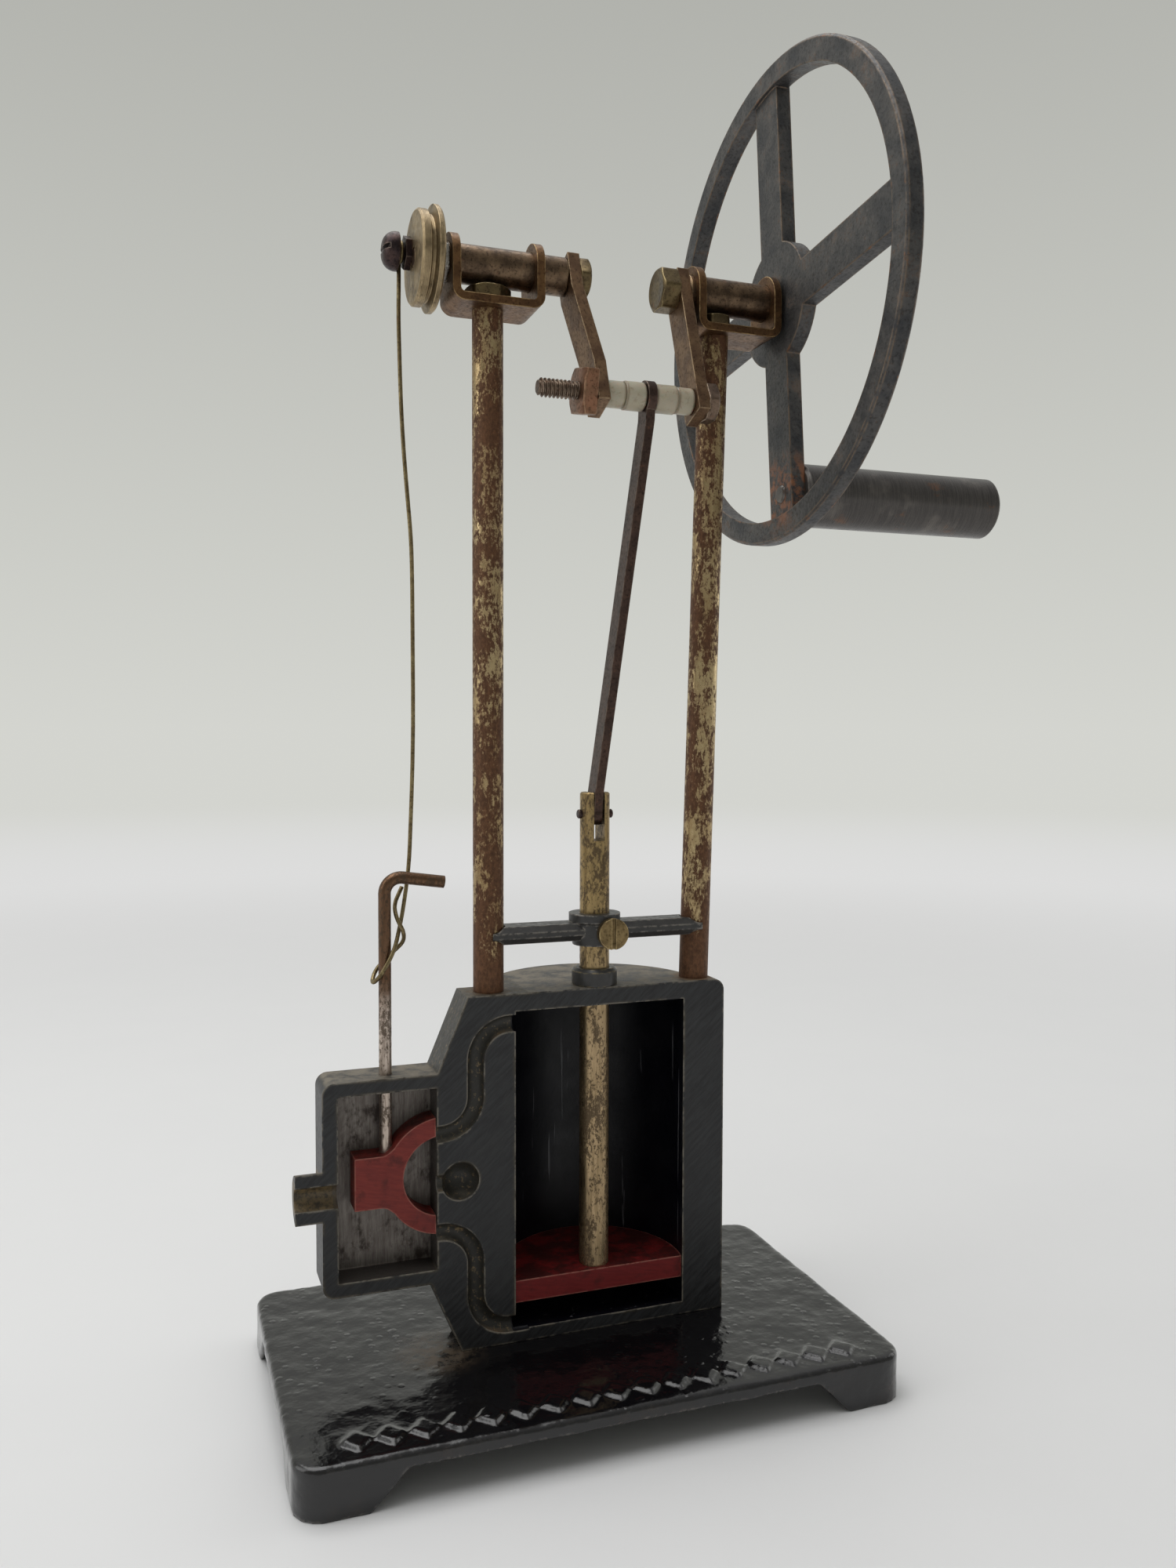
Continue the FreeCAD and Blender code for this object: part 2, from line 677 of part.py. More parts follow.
def piston_rod_gland():
    """Turned gland with a rounded rim, seated on the block round the rod."""
    bore = s.rod_diameter / 2 + s.running_gap
    outer = s.gland_diameter / 2
    rim = 0.8
    corners = [
        (0, bore), (0, outer), (s.gland_height - rim, outer), (s.gland_height, outer - rim),
        (s.gland_height, bore),
    ]
    return keep(turned("Gland", corners, (s.rod_x, s.rod_y, block_top), "Z"), "piston_rod_gland")


# ---------------------------------------------------------------- posts and brackets


def post(name, foot_x, top_x):
    """Round post with a turned spigot in the block; its top end is drilled for the cap screw."""
    section = s.post_diameter / 2
    ends = []
    for x, z in ((foot_x, block_top), (top_x, plate_bottom)):
        ring = doc.addObject("Part::Circle", name + "Ring")
        bind(ring, "Radius", section)
        ends.append(place(ring, (x, s.rod_y, z)))
    shank = doc.addObject("Part::Loft", name + "Shank")
    shank.Sections = ends
    shank.Solid = True
    shank.Ruled = True
    spigot = cylinder(name + "Spigot", s.spigot_diameter, s.spigot_length,
                      (foot_x, s.rod_y, block_top - s.spigot_length))
    drill = cylinder(name + "Drill", s.stud_diameter, s.spigot_length,
                     (top_x, s.rod_y, plate_bottom - s.spigot_length))
    return cut(name, fuse(name + "Blank", [shank, spigot]), [drill])


def bracket(name, left_x, span, hole_x):
    """U-shaped strip bracket: a flat plate on the post and two round-topped legs for the shaft."""
    body = new_body(name)
    sheet_z = s.axis_height - plate_bottom
    top = s.bracket_width / 2
    outline = sketch_on(body, name + "Strip", "XZ_Plane")
    draw(outline, [
        (0, -sheet_z), (span, -sheet_z), (span, top), (span - s.bracket_sheet, top),
        (span - s.bracket_sheet, s.bracket_sheet - sheet_z), (s.bracket_sheet, s.bracket_sheet - sheet_z),
        (s.bracket_sheet, top), (0, top),
    ])
    pad(body, outline, s.bracket_width, middle=True)
    floor, inner = -float(sheet_z), float(s.bracket_sheet - sheet_z)
    round_edges(body, name + "OuterBends", s.bracket_bend,
                lambda e: along_y(e) and abs(e.BoundBox.ZMin - floor) < 1e-4)
    round_edges(body, name + "InnerBends", s.bracket_bend - s.bracket_sheet,
                lambda e: along_y(e) and abs(e.BoundBox.ZMin - inner) < 1e-4)
    round_edges(body, name + "LegTops", s.bracket_width / 2 - 0.05,
                lambda e: along_x(e) and abs(e.BoundBox.ZMin - float(top)) < 1e-4)
    place(body, (left_x, s.rod_y, s.axis_height))
    shaft_hole = cylinder(name + "ShaftHole", s.shaft_diameter + 2 * s.running_gap, span + 2,
                          (left_x - 1, s.rod_y, s.axis_height), "X")
    screw_hole = cylinder(name + "ScrewHole", s.stud_diameter, s.bracket_sheet + 2,
                          (hole_x, s.rod_y, plate_bottom - 1))
    return cut(name + "Drilled", body, [shaft_hole, screw_hole])


def post_cap_screw(name, x, across):
    """Hexagon screw that clamps a bracket to the top of its post."""
    at = (x, s.rod_y, plate_top)
    head = place(hexagon(name + "Head", across, s.cap_head_height, at, "Z"), at, Z_AXIS, 30)
    dome = cylinder(name + "Dome", across * 1.1, s.cap_head_height, at)
    shank = cylinder(name + "Shank", s.stud_diameter, s.spigot_length - 1 + s.bracket_sheet,
                     (x, s.rod_y, plate_bottom - s.spigot_length + 1))
    return fuse(name, [common(name + "Crown", [head, dome]), shank])


# ---------------------------------------------------------------- piston, rod and crosshead

PISTON_SPIGOT = 5.0
piston_front = s.section_y + 0.7


def piston():
    """Half piston: the bore's disc with the front cut off flat behind the sectioned face."""
    low = piston_top - s.piston_thickness
    radius = s.bore_diameter / 2 - s.piston_gap
    disc = cylinder("PistonDisc", 2 * radius, s.piston_thickness, (s.rod_x, s.rod_y, low))
    behind = box("PistonKept", (2 * radius, 2 * radius, s.piston_thickness),
                 (s.rod_x - radius, piston_front, low))
    hole = cylinder("PistonHole", PISTON_SPIGOT, s.piston_thickness + 2, (s.rod_x, s.rod_y, low - 1))
    half = common("HalfPiston", [disc, behind])
    return keep(cut("Piston", half, [hole]), "piston")


def piston_rod():
    """Rod riveted into the piston, with a slotted and cross-drilled upper end."""
    low = piston_top - s.piston_thickness
    length = wrist_z + s.fork_above_wrist - low
    radius = s.rod_diameter / 2
    corners = [
        (0, 0), (length, 0), (length, radius - SMALL_CHAMFER), (length - SMALL_CHAMFER, radius),
        (s.piston_thickness, radius), (s.piston_thickness, PISTON_SPIGOT / 2), (0, PISTON_SPIGOT / 2),
    ]
    bar = turned("RodBar", corners, (s.rod_x, s.rod_y, low), "Z")
    deep = s.fork_above_wrist + s.fork_below_wrist
    slot = box("ForkSlot", (s.fork_slot, s.rod_diameter + 2, deep + 1),
               (s.rod_x - s.fork_slot / 2, s.rod_y - radius - 1, wrist_z - s.fork_below_wrist))
    cross = cylinder("WristHole", s.wrist_diameter, s.rod_diameter + 2,
                     (s.rod_x - radius - 1, s.rod_y, wrist_z), "X")
    return keep(cut("PistonRod", bar, [slot, cross]), "piston_rod")


WRIST_PROUD = 0.9


def wrist_pin():
    corners = rod_profile(s.wrist_diameter, s.rod_diameter + 2 * WRIST_PROUD, 0.25)
    at = (s.rod_x - s.rod_diameter / 2 - WRIST_PROUD, s.rod_y, wrist_z)
    return keep(turned("WristPin", corners, at), "wrist_pin")


def crosshead():
    """Cast crosshead: a ribbed bar notched to slide on both posts, with a hub on the rod."""
    reach = s.left_post_x
    length = s.right_post_x + 0.6 - reach
    half_bar, half_depth = s.crosshead_bar / 2, s.crosshead_depth / 2
    bevel = 1.5
    section = new_body("CrossheadBar")
    outline = sketch_on(section, "BarSection", "YZ_Plane")
    draw(outline, [
        (-half_depth, -half_bar * 0.3), (-half_depth + bevel, -half_bar), (half_depth - bevel, -half_bar),
        (half_depth, -half_bar * 0.3), (half_depth, 0.3 * half_bar), (half_depth - bevel, half_bar),
        (-half_depth + bevel, half_bar), (-half_depth, 0.3 * half_bar),
    ])
    pad(section, outline, length)
    place(section, (reach, s.rod_y, crosshead_z - 0.4))
    low = crosshead_z - s.crosshead_height / 2
    hub_radius = s.crosshead_hub / 2
    rim, waist = 2.2, 0.5
    hub = turned("CrossheadHub", [
        (0, 0), (s.crosshead_height, 0), (s.crosshead_height, hub_radius),
        (s.crosshead_height - rim, hub_radius), (s.crosshead_height - rim - waist, hub_radius - waist),
        (rim, hub_radius - waist), (0, hub_radius - 2 * waist),
    ], (s.rod_x, s.rod_y, low), "Z")
    blank = fuse("CrossheadBlank", [section, hub])
    clear = s.post_diameter + 2 * s.guide_gap
    notches = [
        cylinder("GuideNotch", clear, s.crosshead_height + 2, (x, s.rod_y, low - 1))
        for x in (s.left_post_x, s.right_post_x + guide_lean)
    ]
    hole = cylinder("CrossheadHole", s.rod_diameter, s.crosshead_height + 2, (s.rod_x, s.rod_y, low - 1))
    tapped = cylinder("ClampHole", clamp_shank, hub_radius + 2, (clamp_x, clamp_y - 0.6, crosshead_z - 0.6), "Y")
    return keep(cut("Crosshead", blank, notches + [hole, tapped]), "crosshead")


guide_lean = ((s.right_post_top_x - s.right_post_x)
              * (crosshead_z - block_top) / (plate_bottom - block_top))
clamp_shank = 3.2
clamp_x = s.rod_x + s.clamp_offset
clamp_y = s.rod_y - s.crosshead_hub / 2


def crosshead_clamp_screw():
    """Slotted round-head screw that clamps the crosshead on the rod."""
    head, slot, depth = 1.8, 1.0, 0.9
    radius = s.rod_diameter / 2
    inner = s.clamp_offset - clamp_shank / 2
    reach = s.crosshead_hub / 2 - square_root(radius * radius - inner * inner)
    at = (clamp_x, clamp_y, crosshead_z - 0.6)
    shank = cylinder("ClampShank", clamp_shank, reach - 0.15, at, "Y")
    disc = cylinder("ClampHead", s.clamp_diameter, head, (clamp_x, clamp_y - head, at[2]), "Y")
    groove = box("ClampSlot", (slot, depth, s.clamp_diameter + 2),
                 (clamp_x - slot / 2, clamp_y - head, at[2] - s.clamp_diameter / 2 - 1))
    screw = fuse("ClampBlank", [shank, disc])
    return keep(cut("ClampScrew", screw, [groove]), "crosshead_clamp_screw")


# ---------------------------------------------------------------- crank


def bent_strip(name, thickness, width, span, knees, set_over, x):
    """A strip of rectangular section from its top down, set over sideways between two knees."""
    strip = new_body(name)
    outline = sketch_on(strip, name + "Outline", "XZ_Plane")
    top, bottom = span
    knee_high, knee_low = knees
    draw(outline, [
        (x, top), (x, knee_high), (x + set_over, knee_low), (x + set_over, bottom),
        (x + set_over + thickness, bottom), (x + set_over + thickness, knee_low),
        (x + thickness, knee_high), (x + thickness, top),
    ])
    pad(strip, outline, width, middle=True)
    return strip


def strip_with_eyes(name, thickness, width, length, eyes, set_over, x, at, angle):
    """A flat strip hanging from an upper eye to a lower eye, set over sideways between them.

    The upper eye is at the point given, and the strip is turned by an angle about X.
    """
    upper, lower = eyes
    widest = upper if float(upper) > float(lower) else lower
    side = bent_strip(name + "Side", thickness, widest + 1, (upper / 2, -length - lower / 2),
                      (-upper * 0.7, lower * 0.9 - length), set_over, x)
    reach = thickness + abs(float(set_over)) + 4
    start = x - abs(float(set_over)) - 2
    front = fuse(name + "Front", [
        cylinder(name + "UpperEye", upper, reach + abs(float(set_over)), (start, 0, 0), "X"),
        cylinder(name + "LowerEye", lower, reach + abs(float(set_over)), (start, 0, -length), "X"),
        box(name + "Strip", (reach + abs(float(set_over)), width, length), (start, -width / 2, -length)),
    ])
    strip = common(name + "Blank", [side, front])
    return place(strip, at, X_AXIS, angle)


def drilled(name, strip, holes):
    return cut(name, strip, [cylinder(name + "Hole", d, 60, at, "X") for d, at in holes])


def crank_arms():
    """Two square-ended strip crank arms; the left one is set over towards the crankpin's middle."""
    axis = (0, s.rod_y, s.axis_height)
    far = -20
    end = s.arm_width / 2
    knees = (-s.arm_width * 0.6, s.arm_width * 0.75 - s.crank_throw)
    for side, x, set_over in (("left", s.left_arm_x, s.arm_set), ("right", s.right_arm_x, formula(0))):
        name = side.capitalize() + "Arm"
        blank = bent_strip(name + "Blank", s.arm_thickness, s.arm_width, (end, -s.crank_throw - end),
                           knees, set_over, x)
        strip = place(blank, axis, X_AXIS, -s.crank_angle)
        holes = [
            (s.stud_diameter, (far, s.rod_y, s.axis_height)),
            (s.stud_diameter, (far, crank_y, crank_z)),
        ]
        keep(drilled(name, strip, holes), side + "_crank_arm")


def crankpin_pieces():
    """The crankpin bolt, its nut, and the four plastic sleeves that space the crank arms."""
    nut_right = s.left_arm_x + s.arm_set
    nut_left = nut_right - s.pin_nut
    head_left = s.right_arm_x + s.arm_thickness
    tip = nut_left - s.pin_tail
    shank = turned("PinShank", rod_profile(s.stud_diameter, head_left - tip, THREAD_CHAMFER),
                   (tip, crank_y, crank_z))
    head = hexagon("PinHead", s.pin_head_across, s.pin_head, (head_left, crank_y, crank_z))
    keep(fuse("CrankpinBolt", [shank, head]), "crankpin_bolt")
    nut = square_bar("PinNut", s.pin_nut_across, s.pin_nut, (nut_left, crank_y, crank_z), s.pin_nut_turn)
    keep(drilled("CrankpinNut", nut, [(s.stud_diameter, (-30, crank_y, crank_z))]), "crankpin_nut")
    rod_left = s.conrod_x - s.conrod_thickness / 2
    rod_right = s.conrod_x + s.conrod_thickness / 2
    inner_left = nut_right + s.arm_thickness
    left_seam = inner_left + 5.2
    right_seam = s.right_arm_x - 4.7
    spans = [
        ("crankpin_spacer_left", inner_left, left_seam, s.spacer_diameter),
        ("crankpin_bush_left", left_seam, rod_left - EYE_GAP, s.bush_diameter),
        ("crankpin_bush_right", rod_right + EYE_GAP, right_seam, s.bush_diameter),
        ("crankpin_spacer_right", right_seam, s.right_arm_x, s.spacer_diameter),
    ]
    for label, left, right, diameter in spans:
        name = "".join(word.capitalize() for word in label.split("_"))
        bore, outer, edge = s.stud_diameter / 2, diameter / 2, 0.35
        length = right - left
        corners = [
            (0, bore), (0, outer - edge), (edge, outer), (length - edge, outer),
            (length, outer - edge), (length, bore),
        ]
        keep(turned(name, corners, (left, crank_y, crank_z)), label)


EYE_GAP = 0.1


def connecting_rod():
    """Thin strip rod: its lower eye hangs in the rod's fork, its upper eye rides on the crankpin."""
    x = s.conrod_x - s.conrod_thickness / 2
    set_over = s.rod_x - s.conrod_x
    strip = strip_with_eyes("Conrod", s.conrod_thickness, s.conrod_width, s.rod_length,
                            (s.big_eye, s.small_eye), set_over, x, (0, crank_y, crank_z), swing_angle)
    holes = [
        (s.stud_diameter + 2 * s.running_gap, (-20, crank_y, crank_z)),
        (s.wrist_diameter + 2 * s.running_gap, (-20, s.rod_y, wrist_z)),
    ]
    return keep(drilled("ConnectingRod", strip, holes), "connecting_rod")


SHAFT_BOLT_REACH = 9.0


def shafts():
    """Two half shafts; each carries a crank arm bolted to its inner end."""
    leg_outside = s.left_bracket_x - 0.3
    left_length = s.left_arm_x - leg_outside
    bar = turned("LeftShaftBar", rod_profile(s.shaft_diameter, left_length, SMALL_CHAMFER),
                 (leg_outside, s.rod_y, s.axis_height))
    stud = turned("LeftShaftStud",
                  rod_profile(s.stud_diameter, leg_outside - s.disc_x, SMALL_CHAMFER),
                  (s.disc_x, s.rod_y, s.axis_height))
    left = fuse("LeftShaftBlank", [bar, stud])
    tapped = cylinder("LeftShaftHole", s.stud_diameter, SHAFT_BOLT_REACH,
                      (s.left_arm_x - SHAFT_BOLT_REACH, s.rod_y, s.axis_height), "X")
    keep(cut("LeftShaft", left, [tapped]), "left_half_shaft")
    start = s.right_arm_x + s.arm_thickness
    web_left = s.wheel_x + s.web_recess
    bar = turned("RightShaftBar", rod_profile(s.shaft_diameter, web_left - start, SMALL_CHAMFER),
                 (start, s.rod_y, s.axis_height))
    stud_length = s.web_thickness + WHEEL_NUT + 1.2
    stud = turned("RightShaftStud", rod_profile(WHEEL_STUD, stud_length, THREAD_CHAMFER),
                  (web_left, s.rod_y, s.axis_height))
    right = fuse("RightShaftBlank", [bar, stud])
    tapped = cylinder("RightShaftHole", s.stud_diameter, SHAFT_BOLT_REACH,
                      (start, s.rod_y, s.axis_height), "X")
    keep(cut("RightShaft", right, [tapped]), "right_half_shaft")
    bolts = (
        ("left", s.left_arm_x + s.arm_thickness, s.left_bolt_across, s.left_bolt_head),
        ("right", s.right_arm_x - s.right_bolt_head, s.right_bolt_across, s.right_bolt_head),
    )
    for side, x, across, thick in bolts:
        name = side.capitalize() + "ArmBolt"
        head = hexagon(name + "Head", across, thick, (x, s.rod_y, s.axis_height))
        reach = SHAFT_BOLT_REACH - 0.5 + s.arm_thickness
        shank_x = x - reach if side == "left" else x + thick
        shank = cylinder(name + "Shank", s.stud_diameter, reach, (shank_x, s.rod_y, s.axis_height), "X")
        keep(fuse(name, [head, shank]), side + "_arm_bolt")


WHEEL_STUD = 6.35
WHEEL_NUT = 4.0


# ---------------------------------------------------------------- valve gear


def valve_crank_disc():
    """Grooved disc on the left stud, tapped off centre for the valve pin, and its lock nut."""
    small, large, groove = s.disc_front / 2, s.disc_diameter / 2, s.disc_groove / 2
    edge = 0.5
    step = s.disc_thickness * 0.5
    ramp = s.disc_thickness * 0.64
    bore = s.stud_diameter / 2
    corners = [
        (0, bore), (0, small - edge), (edge, small), (step - edge, small), (step, groove),
        (ramp, groove), (ramp + edge, large), (s.disc_thickness - edge, large),
        (s.disc_thickness, large - edge), (s.disc_thickness, bore),
    ]
    disc = turned("DiscTurning", corners, (s.disc_x, s.rod_y, s.axis_height))
    tapped = cylinder("ValvePinHole", VALVE_PIN, s.disc_thickness,
                      (s.disc_x, valve_pin_y, valve_pin_z), "X")
    keep(cut("ValveDisc", disc, [tapped]), "valve_crank_disc")
    right = s.disc_x + s.disc_thickness
    nut = hexagon("DiscNut", 9.6, s.left_bracket_x - right - 0.35, (right, s.rod_y, s.axis_height))
    keep(drilled("DiscLockNut", nut, [(s.stud_diameter, (-60, s.rod_y, s.axis_height))]), "disc_lock_nut")


VALVE_PIN = 3.5
VALVE_NUT = 1.6
WIRE_ROOM = 1.5
valve_head_x = s.disc_x - VALVE_NUT - WIRE_ROOM


def valve_pin():
    """Slotted round-head screw on the disc, locked by a thin nut; the wire hangs on its shank."""
    dome_height = 3.9
    shank = cylinder("ValvePinShank", VALVE_PIN, WIRE_ROOM + VALVE_NUT + s.disc_thickness,
                     (valve_head_x, valve_pin_y, valve_pin_z), "X")
    head = new_body("ValvePinHead")
    sketch = sketch_on(head, "ValvePinDisc", "YZ_Plane")
    draw_circle(sketch, (formula(0), formula(0)), s.valve_head)
    pad(head, sketch, dome_height)
    round_edges(head, "ValvePinDome", s.valve_head / 2 - 1.4, lambda e: e.BoundBox.XMax < 1e-4)
    place(head, (valve_head_x - dome_height, valve_pin_y, valve_pin_z))
    slot = box("ValvePinSlot", (1.5, s.valve_head, 1.1),
               (valve_head_x - dome_height, valve_pin_y - s.valve_head / 2, valve_pin_z - 0.55))
    screw = cut("ValvePin", fuse("ValvePinBlank", [head, shank]), [slot])
    keep(screw, "valve_pin_screw")
    nut = hexagon("ThinNut", 7.4, VALVE_NUT, (s.disc_x - VALVE_NUT, valve_pin_y, valve_pin_z))
    keep(drilled("ValvePinNut", nut, [(VALVE_PIN, (-60, valve_pin_y, valve_pin_z))]), "valve_pin_nut")


def bent_tube(route, diameter, share=0.45):
    """A round bar along straight runs joined by tangent arcs as large as the runs allow."""
    edges = []
    start = route[0]
    radii = []
    for before, corner, after in zip(route, route[1:], route[2:]):
        incoming = before - corner
        outgoing = after - corner
        reach = share * min(incoming.Length, outgoing.Length)
        incoming.normalize()
        outgoing.normalize()
        half = incoming.getAngle(outgoing) / 2
        radius = reach * math.tan(half)
        radii.append(radius)
        bisector = (incoming + outgoing).normalize()
        middle = corner + bisector * (radius / math.sin(half) - radius)
        enter, leave = corner + incoming * reach, corner + outgoing * reach
        edges += [Part.LineSegment(start, enter).toShape(), Part.Arc(enter, middle, leave).toShape()]
        start = leave
    edges.append(Part.LineSegment(start, route[-1]).toShape())
    path = Part.Wire(edges)
    section = Part.Wire([Part.Circle(route[0], route[1] - route[0], diameter / 2).toShape()])
    tube = path.makePipeShell([section], True, True)
    swept = math.pi * diameter ** 2 / 4 * path.Length
    print(f"bent tube: length {path.Length:.1f}, tightest bend {min(radii):.2f}, "
          f"volume {tube.Volume:.1f} of {swept:.1f}")
    return tube


# The wire's route below its ring, as distances from the valve pin (first) and from the valve rod's
# axis at the chest top (the rest). It runs behind the hook, round the front of the rod, and is
# twisted back on itself.
WIRE_FROM_PIN = [(0.05, 2.3, 0.4), (0.05, 2.2, -6.0), (-0.5, 0.2, -16.0), (-0.2, -1.6, -44.0),
                 (1.9, -2.8, -72.0)]
WIRE_FROM_ROD = [(8.1, 3.4, 124.0), (8.2, 3.2, 83.0), (7.0, 3.5, 52.0), (4.9, 1.9, 40.0),
                 (2.0, -2.2, 31.4), (-1.7, -2.9, 25.4), (-3.5, -0.2, 22.9), (-2.0, 2.8, 26.0),
                 (1.3, 2.9, 29.2), (4.9, 0.4, 33.3), (4.6, -1.5, 36.0), (2.8, -1.0, 39.6),
                 (2.8, 2.2, 42.6), (5.2, 3.9, 46.8)]


def valve_wire():
    """Soft wire from the valve pin to the valve rod, ringed round the pin's shank."""
    pin = FreeCAD.Vector(float(valve_head_x) + WIRE_ROOM / 2, float(valve_pin_y), float(valve_pin_z))
    rod = FreeCAD.Vector(float(s.valve_rod_x), float(s.valve_rod_y), float(s.chest_top))
    route = [pin + FreeCAD.Vector(*step) for step in WIRE_FROM_PIN]
    route += [rod + FreeCAD.Vector(*step) for step in WIRE_FROM_ROD]
    diameter = float(s.wire_diameter)
    tube = bent_tube(route, diameter)
    ring_radius = VALVE_PIN / 2 + diameter / 2 + 0.03
    ring = Part.makeTorus(ring_radius, diameter / 2, pin, X_AXIS)
    wire = doc.addObject("Part::Feature", "ValveWire")
    wire.Shape = ring.fuse(tube)
    return keep(wire, "valve_wire")


VALVE_FRONT = 1.2
SEAT_GAP = 0.1


def slide_valve():
    """D-slide valve: a hollow hood that faces the seat, on a square back for the rod."""
    face = s.seat_x - SEAT_GAP
    front = s.section_y + VALVE_FRONT
    outer = s.valve_span / 2
    inner = outer - s.valve_shell
    centre = face + 2.0
    hood = cylinder("ValveHood", 2 * outer, s.valve_depth, (centre, front, valve_z), "Y")
    body = new_body("ValveBack")
    sketch = sketch_on(body, "ValveBackOutline", "XZ_Plane")
    half = s.valve_stem / 2
    flare = 4.2
    neck = centre - square_root(outer * outer - (half + flare) * (half + flare)) - face
    draw(sketch, [
        (-s.valve_length, -half), (neck - flare, -half), (neck + 1, -half - flare), (neck + 1, half + flare),
        (neck - flare, half), (-s.valve_length, half),
    ])
    pad(body, sketch, s.valve_depth, reverse=True)
    bends = float(neck) - flare
    round_edges(body, "ValveFlare", 3.5,
                lambda e: along_y(e) and abs(e.BoundBox.XMin - bends) < 1e-4)
    place(body, (face, front, valve_z))
    whole = fuse("ValveBlank", [hood, body])
    cavity = cylinder("ValveCavity", 2 * inner, s.valve_depth + 2, (centre, front - 1, valve_z), "Y")
    beyond = box("SeatTrim", (2 * outer, s.valve_depth + 2, 3 * outer),
                 (face, front - 1, valve_z - 1.5 * outer))
    socket = cylinder("ValveRodSocket", s.valve_rod_diameter, VALVE_ROD_GRIP + 5,
                      (s.valve_rod_x, s.valve_rod_y, valve_rod_foot))
    return keep(cut("SlideValve", whole, [cavity, beyond, socket]), "slide_valve")


VALVE_ROD_GRIP = 7.0
valve_rod_foot = valve_z + s.valve_stem / 2 - VALVE_ROD_GRIP
HOOK_DROOP = 8.0


def valve_rod():
    """Round rod screwed into the slide valve, bent over into a short hook above the chest."""
    x, y = float(s.valve_rod_x), float(s.valve_rod_y)
    foot = FreeCAD.Vector(x, y, float(valve_rod_foot))
    corner = FreeCAD.Vector(x, y, float(s.valve_rod_top + s.valve_drift) - 0.5)
    droop = math.radians(HOOK_DROOP)
    run = FreeCAD.Vector(math.cos(droop), 0, -math.sin(droop))
    tip = corner + run * float(s.valve_rod_hook)
    path = passage_route([foot, corner, tip], float(s.valve_rod_bend))
    section = Part.Wire([Part.Circle(foot, Z_AXIS, float(s.valve_rod_diameter) / 2).toShape()])
    rod = doc.addObject("Part::Feature", "ValveRod")
    rod.Shape = path.makePipeShell([section], True, True)
    return keep(rod, "valve_rod")


# ---------------------------------------------------------------- flywheel


def flywheel():
    """Four-spoked cast wheel with its spokes and hub set back behind the rim's face."""
    body = new_body("WheelCasting")
    outer, inner = s.wheel_diameter / 2, s.wheel_diameter / 2 - s.rim_depth
    edge = 0.6
    rim = sketch_on(body, "RimSection", "XZ_Plane")
    draw(rim, [
        (0, inner), (0, outer - edge), (edge, outer), (s.rim_width - edge, outer),
        (s.rim_width, outer - edge), (s.rim_width, inner),
    ])
    turning = body.newObject("PartDesign::Revolution", "RimTurning")
    turning.Profile = rim
    turning.ReferenceAxis = (rim, ["H_Axis"])
    turning.Angle = FULL_TURN
    doc.recompute()
    web = sketch_on(body, "Spokes", "YZ_Plane", s.web_recess)
    half = s.spoke_width / 2
    reach = s.wheel_diameter / 2 - s.rim_depth / 2
    draw(web, [
        (-half, reach), (-half, half), (-reach, half), (-reach, -half), (-half, -half), (-half, -reach),
        (half, -reach), (half, -half), (reach, -half), (reach, half), (half, half), (half, reach),
    ])
    pad(body, web, s.web_thickness)
    hub = sketch_on(body, "Hub", "YZ_Plane", s.web_recess)
    draw_circle(hub, (formula(0), formula(0)), s.wheel_hub)
    pad(body, hub, s.web_thickness)
    doc.recompute()
    place(body, (s.wheel_x, s.rod_y, s.axis_height), X_AXIS, s.wheel_angle)
    web_left = s.wheel_x + s.web_recess
    holes = [
        cylinder("WheelBore", WHEEL_STUD, 20, (web_left - 5, s.rod_y, s.axis_height), "X"),
        cylinder("HandleHole", HANDLE_SPIGOT, 20, (web_left - 5, handle_y, handle_z), "X"),
    ]
    keep(cut("Flywheel", body, holes), "flywheel")
    nut = hexagon("WheelNutBlank", 11.0, WHEEL_NUT, (web_left + s.web_thickness, s.rod_y, s.axis_height))
    keep(drilled("WheelNut", nut, [(WHEEL_STUD, (40, s.rod_y, s.axis_height))]), "flywheel_nut")


HANDLE_SPIGOT = 5.0
handle_y = s.rod_y + s.handle_radius * sine(s.wheel_angle)
handle_z = s.axis_height - s.handle_radius * cosine(s.wheel_angle)


def flywheel_handle():
    """Plain turned handle whose spigot is riveted through the lower spoke."""
    radius = s.handle_diameter / 2
    spigot, proud = HANDLE_SPIGOT / 2, 0.5
    start = s.web_thickness + proud
    length = start + s.handle_length
    edge = 0.8
    corners = [
        (0, 0), (length, 0), (length, radius - edge), (length - edge, radius), (start + edge, radius),
        (start, radius - edge), (start, spigot), (proud, spigot), (0, spigot - proud),
    ]
    at = (s.wheel_x + s.web_recess - proud, handle_y, handle_z)
    return keep(turned("Handle", corners, at), "flywheel_handle")


# ---------------------------------------------------------------- assembly


def build_all():
    base_plate()
    block_fixing_screws()
    cylinder_block()
    piston_rod_gland()
    keep(post("LeftPost", s.left_post_x, s.left_post_x), "left_post")
    keep(post("RightPost", s.right_post_x, s.right_post_top_x), "right_post")
    keep(bracket("LeftBracket", s.left_bracket_x, s.left_bracket_span, s.left_post_x),
         "left_bearing_bracket")
    keep(bracket("RightBracket", s.right_bracket_x, s.right_bracket_span, s.right_post_top_x),
         "right_bearing_bracket")
    keep(post_cap_screw("LeftCapScrew", s.left_post_x, s.left_cap_across), "left_post_cap_screw")
    keep(post_cap_screw("RightCapScrew", s.right_post_top_x, s.right_cap_across), "right_post_cap_screw")
    piston()
    piston_rod()
    wrist_pin()
    crosshead()
    crosshead_clamp_screw()
    crank_arms()
    crankpin_pieces()
    connecting_rod()
    shafts()
    valve_crank_disc()
    valve_pin()
    valve_wire()
    slide_valve()
    valve_rod()
    flywheel()
    flywheel_handle()


